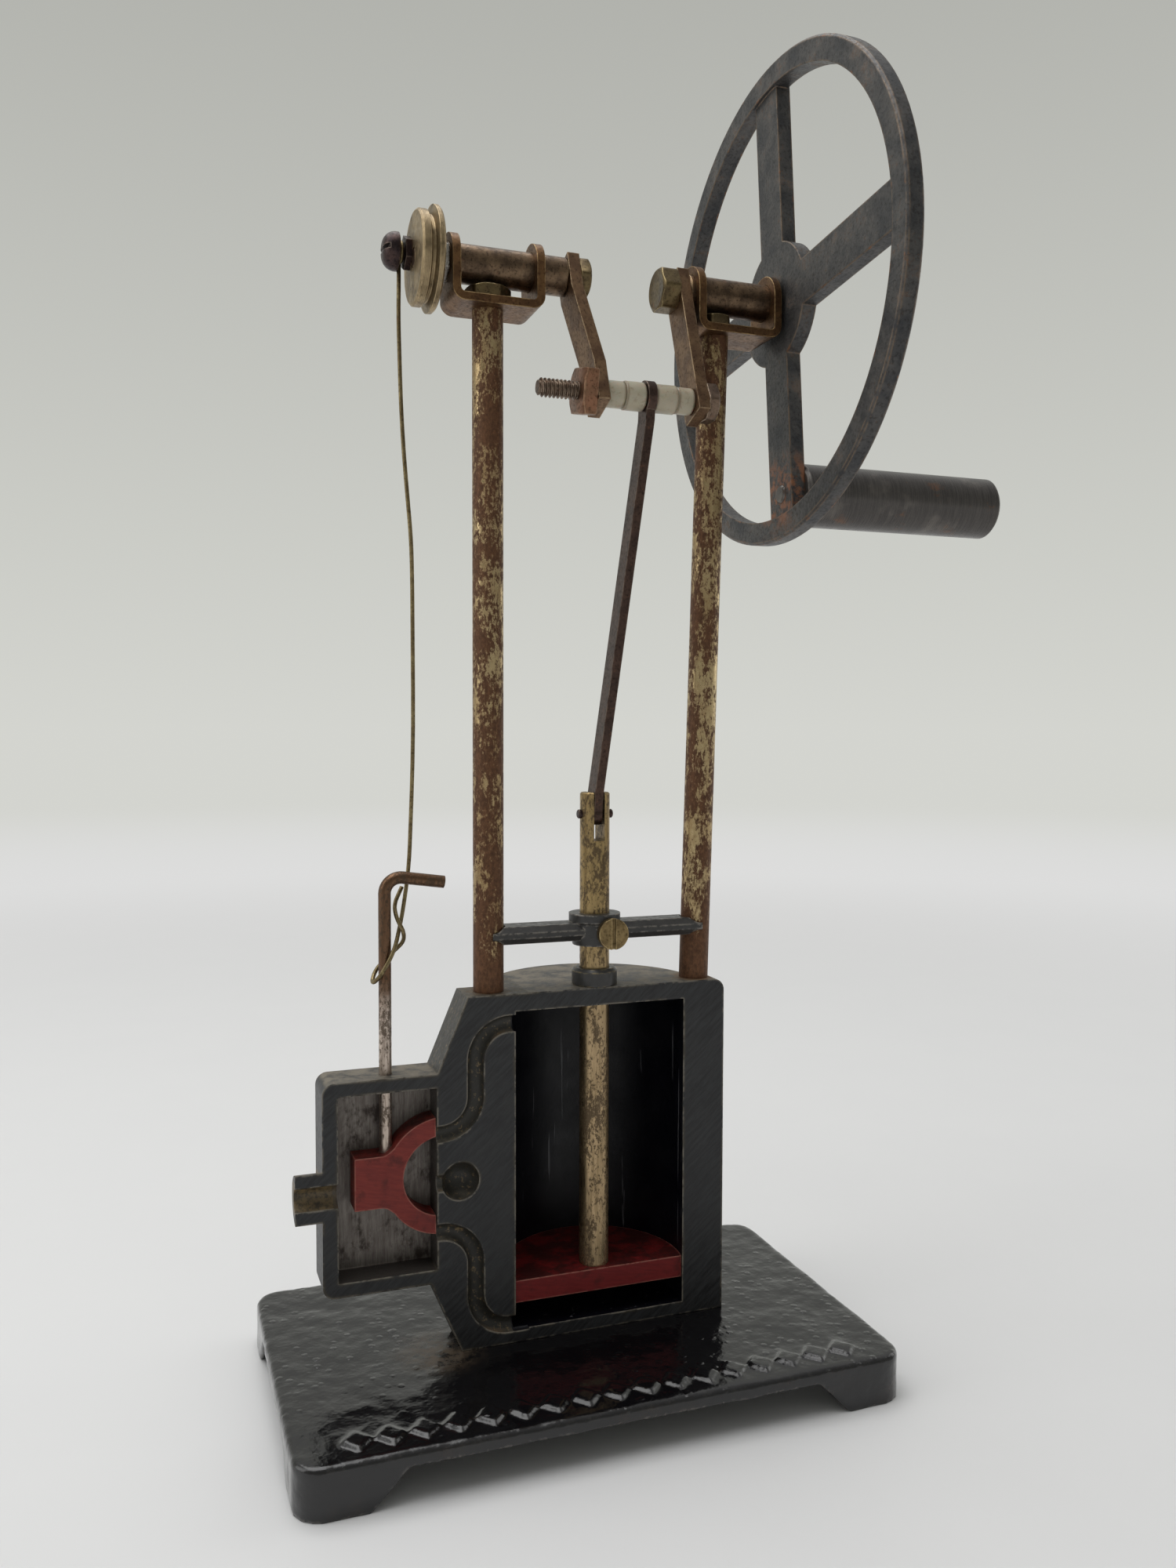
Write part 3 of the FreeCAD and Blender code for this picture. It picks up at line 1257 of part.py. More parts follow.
def check_and_export():
    """Stop on any failed object or bad shape, then write one STEP file per sub-part."""
    doc.recompute()
    for item in doc.Objects:
        if {"Invalid", "Error"} & set(item.State):
            raise RuntimeError(f"{item.Name} ({item.Label}) failed: {item.State}")
    for piece in sub_parts:
        if piece.Shape.isNull() or not piece.Shape.isValid():
            raise RuntimeError(f"{piece.Label} has a bad shape")
    os.makedirs("parts", exist_ok=True)
    for piece in sub_parts:
        piece.Shape.exportStep(os.path.join("parts", piece.Label + ".step"))
        print(f"{piece.Label}: {len(piece.Shape.Solids)} solid(s), {piece.Shape.Volume:.1f} mm3")


build_all()
check_and_export()
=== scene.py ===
"""Sectional steam-engine demonstration model: looks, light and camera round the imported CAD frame.

Lengths are metres in the CAD's frame: the origin is under the middle of the base, +Z is up, +X runs
along the crankshaft to the flywheel, and -Y is the sectioned side.
"""
import json
import math
import bmesh
import bpy
from mathutils import Matrix, Vector, noise


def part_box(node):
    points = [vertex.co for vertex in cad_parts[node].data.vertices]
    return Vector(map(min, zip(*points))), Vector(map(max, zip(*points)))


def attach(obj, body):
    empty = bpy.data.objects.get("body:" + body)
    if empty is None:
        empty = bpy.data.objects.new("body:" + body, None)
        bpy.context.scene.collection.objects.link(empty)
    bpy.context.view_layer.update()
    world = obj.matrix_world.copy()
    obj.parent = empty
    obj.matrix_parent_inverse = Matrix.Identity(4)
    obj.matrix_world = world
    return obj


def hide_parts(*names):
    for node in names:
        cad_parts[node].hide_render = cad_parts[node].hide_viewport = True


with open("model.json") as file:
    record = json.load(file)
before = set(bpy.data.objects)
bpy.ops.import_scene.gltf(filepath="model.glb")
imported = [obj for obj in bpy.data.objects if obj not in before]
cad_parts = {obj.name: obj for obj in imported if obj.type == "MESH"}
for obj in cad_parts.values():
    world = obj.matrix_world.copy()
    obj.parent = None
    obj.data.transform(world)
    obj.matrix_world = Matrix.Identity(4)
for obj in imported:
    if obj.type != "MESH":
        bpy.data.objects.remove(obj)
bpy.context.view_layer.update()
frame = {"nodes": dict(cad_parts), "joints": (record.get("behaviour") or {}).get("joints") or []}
nodes = frame["nodes"]
MM = 0.001

# sizes that the frame's boxes do not give
PISTON_GAP = 0.1 * MM
STUD_RADIUS = 2.38 * MM
THREAD_PITCH = 1.06 * MM
ARM_THICKNESS = 3.2 * MM
CAP_HEAD = 3.6 * MM
NUT_TURN = 13

# colour of the backdrop where it meets the floor
HORIZON = (0.655, 0.66, 0.625)

# ---------------------------------------------------------------- places taken from the frame


def centre(node):
    low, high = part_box(node)
    return (Vector(low) + Vector(high)) / 2


def low(node):
    return Vector(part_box(node)[0])


def high(node):
    return Vector(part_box(node)[1])


def joint_place(name):
    for joint in frame["joints"]:
        if joint["name"] == name:
            return Vector(joint["pos_m"])
    raise ValueError(name)


rod_axis = centre("piston_rod")
shaft_axis = joint_place("crank_turn")
crankpin_axis = centre("crankpin_bolt")
bore_radius = (high("piston").x - low("piston").x) / 2 + PISTON_GAP
section_y = low("cylinder_block").y
base_top = low("cylinder_block").z

# ---------------------------------------------------------------- material helpers


class Shader:
    """A node material built by small calls; every call returns the socket that it makes."""

    def __init__(self, name):
        self.material = bpy.data.materials.new(name)
        self.material.use_nodes = True
        self.tree = self.material.node_tree
        self.tree.nodes.clear()
        self.output = self.node("ShaderNodeOutputMaterial")
        self.surface = self.node("ShaderNodeBsdfPrincipled")
        self.join(self.surface.outputs[0], self.output.inputs[0])
        self.place = self.node("ShaderNodeTexCoord").outputs["Object"]
        self.parts = self.node("ShaderNodeSeparateXYZ")
        self.join(self.place, self.parts.inputs[0])
        self.x, self.y, self.z = self.parts.outputs

    def node(self, kind, **settings):
        made = self.tree.nodes.new(kind)
        for key, value in settings.items():
            setattr(made, key, value)
        return made

    def join(self, source, target):
        self.tree.links.new(source, target)

    def feed(self, target, value):
        if isinstance(value, bpy.types.NodeSocket):
            self.join(value, target)
        elif isinstance(value, (tuple, list)) and len(value) == 3 and target.type == "RGBA":
            target.default_value = (*value, 1)
        else:
            target.default_value = value

    def mapped(self, stretch=(1, 1, 1), turn=(0, 0, 0), shift=(0, 0, 0)):
        """Coordinates turned first and then scaled, so a texture can be drawn out along a slant."""
        made = self.node("ShaderNodeMapping", vector_type="TEXTURE")
        self.join(self.place, made.inputs["Vector"])
        made.inputs["Scale"].default_value = [1 / s for s in stretch]
        made.inputs["Rotation"].default_value = [math.radians(a) for a in turn]
        made.inputs["Location"].default_value = shift
        return made.outputs[0]

    def noise(self, size, detail=4, rough=0.55, bend=0.0, vector=None):
        """Cloudy noise whose blotches are about `size` metres across."""
        made = self.node("ShaderNodeTexNoise")
        self.join(vector or self.place, made.inputs["Vector"])
        made.inputs["Scale"].default_value = 1 / size
        made.inputs["Detail"].default_value = detail
        made.inputs["Roughness"].default_value = rough
        made.inputs["Distortion"].default_value = bend
        return made.outputs[0]

    def cells(self, size, smooth=0.0):
        """Distance to the nearest of a set of points about `size` metres apart."""
        made = self.node("ShaderNodeTexVoronoi")
        if smooth:
            made.feature = "SMOOTH_F1"
            made.inputs["Smoothness"].default_value = smooth
        self.join(self.place, made.inputs["Vector"])
        made.inputs["Scale"].default_value = 1 / size
        return made.outputs["Distance"]

    def level(self, value, start, end, low=0.0, high=1.0):
        """Smooth step of a value from start to end, onto low to high."""
        made = self.node("ShaderNodeMapRange", interpolation_type="SMOOTHSTEP")
        self.feed(made.inputs["Value"], value)
        made.inputs["From Min"].default_value = start
        made.inputs["From Max"].default_value = end
        made.inputs["To Min"].default_value = low
        made.inputs["To Max"].default_value = high
        return made.outputs[0]

    def maths(self, action, a, b=0.0):
        made = self.node("ShaderNodeMath", operation=action)
        for socket, value in zip(made.inputs, (a, b)):
            self.feed(socket, value)
        return made.outputs[0]

    def both(self, a, b):
        return self.maths("MULTIPLY", a, b)

    def either(self, a, b):
        return self.maths("MAXIMUM", a, b)

    def inverse(self, a):
        return self.maths("SUBTRACT", 1.0, a)

    def distance(self, a, a_middle, b, b_middle):
        """Distance from a line, given two coordinates and where the line crosses them."""
        off_a = self.maths("SUBTRACT", a, a_middle)
        off_b = self.maths("SUBTRACT", b, b_middle)
        return self.maths("SQRT", self.maths("ADD", self.both(off_a, off_a), self.both(off_b, off_b)))

    def mix(self, share, a, b):
        made = self.node("ShaderNodeMix", data_type="RGBA")
        self.feed(made.inputs[0], share)
        self.feed(made.inputs[6], a)
        self.feed(made.inputs[7], b)
        return made.outputs[2]

    def band(self, value, start, end, soft):
        """One between start and end, zero outside, with soft ends."""
        rise = self.level(value, start - soft, start + soft)
        fall = self.level(value, end - soft, end + soft, 1.0, 0.0)
        return self.both(rise, fall)

    def facing(self, axis):
        """How far the surface faces along an axis of the object, from -1 to 1."""
        made = self.node("ShaderNodeSeparateXYZ")
        turn = self.node("ShaderNodeVectorTransform", vector_type="NORMAL", convert_from="WORLD",
                         convert_to="OBJECT")
        self.join(self.node("ShaderNodeNewGeometry").outputs["Normal"], turn.inputs[0])
        self.join(turn.outputs[0], made.inputs[0])
        return made.outputs[axis]

    def edges(self, radius, sharp=0.02):
        """Mask of the convex and concave edges within a radius."""
        rounded = self.node("ShaderNodeBevel", samples=6)
        rounded.inputs["Radius"].default_value = radius
        flat = self.node("ShaderNodeNewGeometry").outputs["Normal"]
        made = self.node("ShaderNodeVectorMath", operation="DOT_PRODUCT")
        self.join(rounded.outputs[0], made.inputs[0])
        self.join(flat, made.inputs[1])
        return self.level(made.outputs["Value"], 1 - 0.1 * sharp, 1 - sharp)

    def bump(self, height, distance, strength=1.0, before=None):
        made = self.node("ShaderNodeBump")
        made.inputs["Strength"].default_value = strength
        made.inputs["Distance"].default_value = distance
        self.feed(made.inputs["Height"], height)
        if before is not None:
            self.join(before, made.inputs["Normal"])
        return made.outputs[0]

    def softened(self, radius):
        """Normal that rounds the model's sharp edges."""
        made = self.node("ShaderNodeBevel", samples=6)
        made.inputs["Radius"].default_value = radius
        return made.outputs[0]

    def finish(self, colour, roughness, normal=None, metallic=0.0, **constants):
        self.feed(self.surface.inputs["Base Color"], colour)
        self.feed(self.surface.inputs["Roughness"], roughness)
        self.feed(self.surface.inputs["Metallic"], metallic)
        if normal is not None:
            self.join(normal, self.surface.inputs["Normal"])
        for name, value in constants.items():
            self.surface.inputs[name.replace("_", " ")].default_value = value
        return self.material


# ---------------------------------------------------------------- paints


def japanned_black():
    """Thick glossy stove enamel over a rough casting: lumps, pimples, worn brown corners, and pale edge
    chips that are partly painted highlight.
    """
    m = Shader("japanned_black")
    top = m.level(m.z, base_top - 1.5 * MM, base_top - 0.3 * MM)
    lumps = m.noise(7 * MM, 3)
    grain = m.noise(1.6 * MM, 5, 0.6)
    pimples = m.level(m.cells(3.2 * MM, smooth=0.3), 0.36, 0.10)
    spread = m.level(m.noise(24 * MM, 2), 0.42, 0.62)
    pimples = m.both(m.both(m.both(pimples, spread), top), 0.7)
    # pale chips along the edges: partly worn enamel, partly a painted highlight along the edges
    edge = m.edges(1.3 * MM, 0.05)
    chips = m.both(edge, m.level(m.noise(2.6 * MM, 6, 0.7), 0.50, 0.62))
    corner = m.level(m.noise(13 * MM, 5, 0.65), 0.52, 0.70)
    sides = m.inverse(top)
    brown = m.both(m.both(corner, sides), 0.75)
    colour = m.mix(m.noise(5 * MM, 4), (0.0030, 0.0028, 0.0036), (0.0055, 0.0050, 0.0056))
    colour = m.mix(brown, colour, (0.022, 0.014, 0.010))
    foot_in, foot_back = 36 * MM, 2 * MM
    foot = low("cylinder_block") + Vector((foot_in, foot_back, 0))
    near_foot = m.distance(m.x, foot.x, m.y, foot.y)
    dirt = m.both(m.level(near_foot, 15 * MM, 2 * MM), m.level(m.noise(4 * MM, 6, 0.7), 0.34, 0.60))
    dirt = m.both(dirt, top)
    colour = m.mix(m.both(dirt, 0.9), colour, (0.105, 0.075, 0.048))
    # pale edge chips mixed in: worn enamel and painted highlight
    colour = m.mix(chips, colour, (0.19, 0.17, 0.15))
    rough = m.level(m.noise(9 * MM, 5), 0.3, 0.7, 0.10, 0.22)
    rough = m.maths("ADD", rough, m.both(brown, 0.22))
    rough = m.maths("ADD", rough, m.both(dirt, 0.45))
    rough = m.maths("ADD", rough, m.both(chips, 0.2))
    normal = m.softened(0.7 * MM)
    normal = m.bump(lumps, 0.9 * MM, 0.55, normal)
    normal = m.bump(pimples, 0.35 * MM, 0.8, normal)
    normal = m.bump(grain, 0.14 * MM, 0.5, normal)
    return m.finish(colour, rough, normal, Coat_Weight=0.35, Coat_Roughness=0.06)


def near_posts(m, outer, inner):
    """One inside the inner radius round the foot of either post, zero beyond the outer one."""
    half_post = 4 * MM
    close = 0.0
    for post in ("left_post", "right_post"):
        reach = m.distance(m.x, low(post).x + half_post, m.y, rod_axis.y)
        close = m.either(m.level(reach, outer, inner), close)
    return close


def block_black():
    """Hand-brushed satin black on the sectioned casting, with a bare chest, a glossy bore, and pale worn
    edges that are partly painted highlight.
    """
    m = Shader("block_black")
    chest_depth = 8.0 * MM
    chest_low, chest_high = 34.0 * MM, 81.6 * MM
    bore_low, bore_high = 15 * MM, 100 * MM
    passages_left, passages_right = -36.6 * MM, -12 * MM
    groove_right, groove_left = -60.5 * MM, -61.5 * MM
    groove_low, groove_high = 52.5 * MM, 60.7 * MM
    floor_y = section_y + chest_depth
    chest_left, chest_right = low("slide_valve").x - 5.2 * MM, high("slide_valve").x + 0.4 * MM
    chest = m.both(m.band(m.x, chest_left, chest_right, 0.15 * MM),
                   m.band(m.z, chest_low, chest_high, 0.2 * MM))
    chest_walls = m.both(chest, m.level(m.y, section_y + 0.3 * MM, section_y + 0.8 * MM))
    chest_floor = m.both(m.both(chest, m.level(m.y, floor_y - 0.2 * MM, floor_y + 0.2 * MM)),
                         m.level(m.y, floor_y + 1.2 * MM, floor_y + 1.5 * MM, 1.0, 0.0))
    reach = m.distance(m.x, rod_axis.x, m.y, rod_axis.y)
    bore = m.both(m.level(reach, bore_radius + 0.5 * MM, bore_radius + 0.3 * MM),
                  m.level(m.y, section_y + 0.1 * MM, section_y + 0.3 * MM))
    bore = m.both(bore, m.band(m.z, bore_low, bore_high, 0.3 * MM))
    upward = m.both(m.level(m.facing(2), 0.6, 0.9), m.inverse(m.either(bore, chest)))
    strokes = m.noise(0.9 * MM, 5, 0.6, vector=m.mapped((1, 1, 0.10), (0, 50, 0)))
    fine = m.noise(0.4 * MM, 6, 0.7, bend=0.3, vector=m.mapped((1, 1, 0.14), (0, 36, 0)))
    blotch = m.noise(12 * MM, 4)
    edge = m.edges(0.8 * MM, 0.06)
    # pale thin lines along the edges: partly real wear, partly a painted highlight
    worn = m.both(edge, m.level(m.noise(4 * MM, 7, 0.75), 0.42, 0.56))
    sunken = m.both(m.level(m.y, section_y + 0.15 * MM, section_y + 0.6 * MM),
                    m.band(m.x, passages_left, passages_right, 0.3 * MM))
    sunken = m.both(sunken, m.inverse(m.either(bore, chest)))
    flecks = m.level(m.noise(1.3 * MM, 6, 0.75), 0.56, 0.66)
    brownish = m.both(m.edges(1.6 * MM, 0.08), m.level(m.noise(9 * MM, 4), 0.46, 0.62))
    strokes = m.maths("ADD", m.both(strokes, 0.6), m.both(fine, 0.4))
    colour = m.mix(m.level(strokes, 0.36, 0.68), (0.0090, 0.0090, 0.0100), (0.032, 0.033, 0.035))
    colour = m.mix(m.both(m.level(blotch, 0.50, 0.7), 0.35), colour, (0.032, 0.032, 0.031))
    dust = m.both(upward, m.level(m.noise(5 * MM, 7, 0.7), 0.34, 0.60))
    colour = m.mix(m.both(dust, 0.85), colour, (0.200, 0.175, 0.135))
    foot_rust = m.both(upward, near_posts(m, 7.5 * MM, 4.5 * MM))
    foot_rust = m.both(foot_rust, m.level(m.noise(2.5 * MM, 6, 0.7), 0.36, 0.56))
    colour = m.mix(m.both(foot_rust, 0.85), colour, (0.150, 0.085, 0.040))
    colour = m.mix(m.both(brownish, 0.55), colour, (0.075, 0.058, 0.032))
    # pale edge lines mixed in: wear and painted highlight
    colour = m.mix(m.both(worn, 0.9), colour, (0.230, 0.205, 0.165))
    colour = m.mix(m.both(sunken, 0.6), colour, (0.036, 0.032, 0.023))
    colour = m.mix(m.both(m.both(sunken, flecks), 0.8), colour, (0.24, 0.17, 0.085))
    groove = m.both(m.level(m.x, groove_right, groove_left),
                    m.level(m.y, section_y + 0.2 * MM, section_y + 0.7 * MM))
    groove = m.both(groove, m.band(m.z, groove_low, groove_high, 0.5 * MM))
    crust = m.level(m.noise(1.8 * MM, 6, 0.7), 0.35, 0.62)
    crust_colour = m.mix(crust, (0.035, 0.026, 0.015), (0.155, 0.108, 0.050))
    colour = m.mix(m.both(groove, 0.9), colour, crust_colour)
    bore_colour = m.mix(m.noise(14 * MM, 3), (0.0012, 0.0012, 0.0030), (0.0030, 0.0030, 0.0062))
    colour = m.mix(bore, colour, bore_colour)
    scratch = m.noise(0.6 * MM, 7, 0.75, bend=0.4, vector=m.mapped((1, 1, 0.07)))
    stain = m.noise(7 * MM, 7, 0.72, vector=m.mapped((1, 1, 0.6)))
    bare = m.mix(m.level(scratch, 0.30, 0.75), (0.120, 0.100, 0.088), (0.27, 0.245, 0.22))
    bare = m.mix(m.level(stain, 0.50, 0.64), bare, (0.045, 0.033, 0.027))
    colour = m.mix(m.both(chest_walls, 0.55), colour, (0.060, 0.050, 0.042))
    colour = m.mix(chest_floor, colour, bare)
    scores = m.level(m.noise(1.3 * MM, 3, 0.5, bend=0.25, vector=m.mapped((1, 1, 0.035))), 0.675, 0.70)
    colour = m.mix(m.both(m.both(scores, bore), 0.75), colour, (0.15, 0.15, 0.16))
    rough = m.level(strokes, 0.3, 0.75, 0.34, 0.58)
    rough = m.maths("ADD", rough, m.both(dust, 0.2))
    rough_bore = m.level(m.noise(10 * MM, 4), 0.3, 0.7, 0.30, 0.50)
    rough = m.maths("ADD", m.both(rough, m.inverse(bore)), m.both(rough_bore, bore))
    normal = m.softened(0.45 * MM)
    normal = m.bump(strokes, 0.16 * MM, 0.5, normal)
    normal = m.bump(fine, 0.05 * MM, 0.4, normal)
    normal = m.bump(blotch, 0.8 * MM, 0.25, normal)
    return m.finish(colour, rough, normal, metallic=m.both(chest_floor, 0.5), Specular_IOR_Level=0.4)


def chipped_black(name, metal):
    """Black paint that has worn off its edges down to the metal."""
    m = Shader(name)
    edge = m.edges(0.7 * MM, 0.05)
    chips = m.either(m.both(edge, m.level(m.noise(1.8 * MM, 5, 0.65), 0.42, 0.58)),
                     m.level(m.noise(2.2 * MM, 6, 0.7), 0.66, 0.72))
    colour = m.mix(m.noise(2 * MM, 4), (0.013, 0.013, 0.013), (0.042, 0.040, 0.038))
    colour = m.mix(m.both(chips, 0.85), colour, metal)
    rough = m.level(m.noise(1.5 * MM, 5), 0.3, 0.7, 0.28, 0.5)
    normal = m.softened(0.35 * MM)
    normal = m.bump(m.noise(1.1 * MM, 5), 0.15 * MM, 0.6, normal)
    return m.finish(colour, rough, normal, metallic=m.both(chips, 0.6))


def red_paint(name, dark, light):
    """Dark red brushed paint, rubbed pale along the edges, with grime in the strokes and dark dirt with
    painted shade on the faces that point up.
    """
    m = Shader(name)
    strokes = m.noise(0.5 * MM, 5, 0.6, vector=m.mapped((0.12, 1, 1), (0, 12, 0)))
    edge = m.edges(0.6 * MM, 0.05)
    rubbed = m.both(edge, m.level(m.noise(2 * MM, 6, 0.7), 0.32, 0.52))
    grime = m.level(m.noise(4 * MM, 6, 0.65), 0.50, 0.70)
    upward = m.level(m.facing(2), 0.6, 0.9)
    colour = m.mix(m.level(strokes, 0.3, 0.7), dark, light)
    colour = m.mix(m.both(grime, 0.6), colour, (0.045, 0.008, 0.006))
    # faces that point up are darkened: partly dirt, partly painted shade
    top_dirt_and_shade = m.level(m.noise(7 * MM, 6, 0.7), 0.38, 0.58)
    colour = m.mix(m.both(m.both(upward, top_dirt_and_shade), 0.85), colour, (0.030, 0.008, 0.007))
    colour = m.mix(m.both(rubbed, 0.8), colour, (0.42, 0.17, 0.13))
    rough = m.level(strokes, 0.3, 0.7, 0.38, 0.58)
    normal = m.softened(0.3 * MM)
    normal = m.bump(strokes, 0.04 * MM, 0.5, normal)
    normal = m.bump(m.noise(3 * MM, 3), 0.25 * MM, 0.3, normal)
    return m.finish(colour, rough, normal, Specular_IOR_Level=0.3)


# ---------------------------------------------------------------- metals


def mottled_plate(name, bright, tarnish, rust, amount, lower_rust=0.0, heights=(0.1, 0.28)):
    """Worn bright plating: tarnish in clouds and fine rust speckle that gathers in patches."""
    m = Shader(name)
    clouds = m.noise(14 * MM, 5, 0.6, vector=m.mapped((1, 1, 0.35)))
    patches = m.noise(4 * MM, 6, 0.7, vector=m.mapped((1, 1, 0.4)))
    speckle = m.noise(0.9 * MM, 7, 0.78, vector=m.mapped((1, 1, 0.6)))
    specks = m.cells(1.1 * MM)
    near_end = m.both(m.level(m.z, heights[0] + 22 * MM, heights[0], 0.0, 1.0), lower_rust)
    weight = m.maths("ADD", m.both(clouds, 0.40), m.both(patches, 0.70))
    weight = m.maths("ADD", weight, m.both(m.maths("SUBTRACT", speckle, 0.5), 0.60))
    weight = m.maths("ADD", weight, m.both(near_end, 0.22))
    rusted = m.level(weight, 0.72 - amount, 0.80 - amount)
    tarnished = m.level(m.maths("ADD", m.both(clouds, 0.5), m.both(speckle, 0.5)), 0.38, 0.62)
    colour = m.mix(tarnished, bright, tarnish)
    dark_rust = m.mix(m.level(speckle, 0.35, 0.65), rust, tuple(c * 0.5 for c in rust))
    colour = m.mix(rusted, colour, dark_rust)
    pits = m.level(specks, 0.16, 0.04)
    colour = m.mix(m.both(pits, 0.6), colour, (0.03, 0.018, 0.010))
    rough = m.maths("ADD", m.level(speckle, 0.3, 0.7, 0.24, 0.40), m.both(rusted, 0.26))
    normal = m.softened(0.25 * MM)
    normal = m.bump(m.maths("ADD", rusted, m.both(speckle, 0.7)), 0.06 * MM, 0.7, normal)
    return m.finish(colour, rough, normal, metallic=m.maths("SUBTRACT", 0.95, m.both(rusted, 0.5)))


def patina(name, body, shade, edge_colour, shine=0.38, edge_share=0.8):
    """Brown and olive patina over brass or steel strip, bright where edges are handled."""
    m = Shader(name)
    clouds = m.noise(5 * MM, 6, 0.65)
    speckle = m.noise(0.8 * MM, 6, 0.7)
    edge = m.edges(0.45 * MM, 0.05)
    rubbed = m.both(edge, m.level(m.noise(2.2 * MM, 5, 0.6), 0.34, 0.58))
    colour = m.mix(m.level(clouds, 0.36, 0.64), body, shade)
    colour = m.mix(m.both(m.level(speckle, 0.50, 0.66), 0.7), colour, tuple(c * 0.3 for c in shade))
    spots = m.level(m.noise(1.7 * MM, 6, 0.7), 0.60, 0.68)
    colour = m.mix(m.both(spots, 0.6), colour, (0.16, 0.060, 0.022))
    colour = m.mix(m.both(rubbed, edge_share), colour, edge_colour)
    rough = m.maths("ADD", m.level(speckle, 0.3, 0.7, shine - 0.08, shine + 0.14), m.both(spots, 0.15))
    normal = m.softened(0.35 * MM)
    normal = m.bump(speckle, 0.07 * MM, 0.55, normal)
    normal = m.bump(clouds, 0.3 * MM, 0.25, normal)
    return m.finish(colour, rough, normal, metallic=m.maths("SUBTRACT", 0.9, m.both(spots, 0.5)))


def turned_metal(name, light, dark, origin, ring, shine=0.38, dirt=0.4):
    """Lathe-turned metal: fine rings round the X axis on faces, or along it on rounds."""
    m = Shader(name)
    radius = m.distance(m.y, origin.y, m.z, origin.z)
    waves = m.maths("SINE", m.maths("MULTIPLY", m.maths("ADD", radius, m.x), 2 * math.pi / ring))
    wander = m.noise(1.4 * MM, 5, 0.6)
    lines = m.maths("ADD", m.both(waves, 0.5), m.both(wander, 1.2))
    clouds = m.noise(6 * MM, 6, 0.65)
    edge = m.both(m.edges(0.45 * MM, 0.05), m.level(m.noise(2 * MM, 5), 0.35, 0.6))
    colour = m.mix(m.level(clouds, 0.35, 0.65), light, dark)
    colour = m.mix(m.both(m.level(lines, 0.2, 1.1), 0.35), colour, tuple(c * 0.55 for c in dark))
    grime = m.level(m.noise(2.4 * MM, 6, 0.7), 0.52, 0.68)
    colour = m.mix(m.both(grime, dirt), colour, (0.05, 0.038, 0.022))
    colour = m.mix(m.both(edge, 0.6), colour, tuple(min(1, c * 1.5) for c in light))
    rough = m.level(wander, 0.3, 0.7, shine - 0.06, shine + 0.12)
    normal = m.softened(0.3 * MM)
    normal = m.bump(lines, 0.02 * MM, 0.7, normal)
    return m.finish(colour, rough, normal, metallic=0.85)


def old_iron():
    """Dark blue-grey cast iron of the flywheel, with rust bloom and rubbed edges."""
    m = Shader("old_iron")
    clouds = m.noise(10 * MM, 7, 0.70)
    speckle = m.noise(0.9 * MM, 6, 0.7)
    rust = m.level(m.maths("ADD", m.both(clouds, 0.7), m.both(speckle, 0.4)), 0.60, 0.66)
    handle = centre("flywheel_handle")
    near = 1.0
    for offset, outer in ((m.maths("SUBTRACT", m.z, handle.z), 13 * MM),
                          (m.maths("SUBTRACT", m.y, handle.y), 11 * MM)):
        inner = 4 * MM
        side = m.both(m.level(offset, outer, inner), m.level(offset, -outer, -inner))
        near = m.both(near, side)
    bloom = m.both(near, m.level(m.noise(3 * MM, 6, 0.7), 0.44, 0.60))
    edge = m.both(m.edges(0.7 * MM, 0.05), m.level(m.noise(4 * MM, 6, 0.65), 0.36, 0.55))
    colour = m.mix(m.level(clouds, 0.3, 0.7), (0.033, 0.035, 0.039), (0.102, 0.096, 0.090))
    colour = m.mix(m.both(m.level(speckle, 0.50, 0.62), 0.7), colour, (0.022, 0.020, 0.019))
    colour = m.mix(m.both(rust, 0.55), colour, (0.110, 0.070, 0.046))
    colour = m.mix(m.both(edge, 0.85), colour, (0.210, 0.150, 0.100))
    chips = m.both(m.edges(1.1 * MM, 0.05), m.level(m.noise(3.4 * MM, 6, 0.7), 0.58, 0.64))
    colour = m.mix(m.both(chips, 0.8), colour, (0.25, 0.105, 0.042))
    colour = m.mix(m.both(bloom, 0.9), colour, (0.26, 0.095, 0.035))
    rough = m.maths("ADD", m.level(speckle, 0.3, 0.7, 0.36, 0.52), m.both(rust, 0.16))
    normal = m.softened(0.6 * MM)
    normal = m.bump(speckle, 0.14 * MM, 0.8, normal)
    normal = m.bump(m.noise(3 * MM, 4), 0.4 * MM, 0.5, normal)
    metal = m.maths("SUBTRACT", 0.55, m.both(m.either(rust, bloom), 0.4))
    return m.finish(colour, rough, normal, metallic=metal)


def black_steel():
    """Blackened turned steel of the handle: rings round it, a rust scuff and a rubbed end."""
    m = Shader("black_steel")
    rings = m.noise(0.35 * MM, 6, 0.7, vector=m.mapped((1, 0.04, 0.04)))
    broad = m.noise(2.0 * MM, 4, 0.6, vector=m.mapped((1, 0.2, 0.2)))
    clouds = m.noise(9 * MM, 5, 0.6)
    patch = m.noise(7 * MM, 7, 0.75, vector=m.mapped((0.6, 1, 1), shift=(0.031, 0, 0)))
    scuff = m.both(m.level(patch, 0.58, 0.66), m.level(rings, 0.35, 0.6))
    edge = m.both(m.edges(0.9 * MM, 0.05), m.level(m.noise(2 * MM, 5), 0.34, 0.6))
    colour = m.mix(m.level(rings, 0.35, 0.7), (0.058, 0.053, 0.050), (0.090, 0.082, 0.075))
    colour = m.mix(m.both(m.level(clouds, 0.5, 0.7), 0.5), colour, (0.190, 0.170, 0.150))
    colour = m.mix(m.both(scuff, 0.7), colour, (0.17, 0.085, 0.045))
    colour = m.mix(m.both(edge, 0.7), colour, (0.24, 0.22, 0.20))
    rough = m.level(rings, 0.3, 0.7, 0.21, 0.36)
    normal = m.softened(0.5 * MM)
    normal = m.bump(m.maths("ADD", rings, broad), 0.03 * MM, 0.5, normal)
    return m.finish(colour, rough, normal, metallic=0.55)


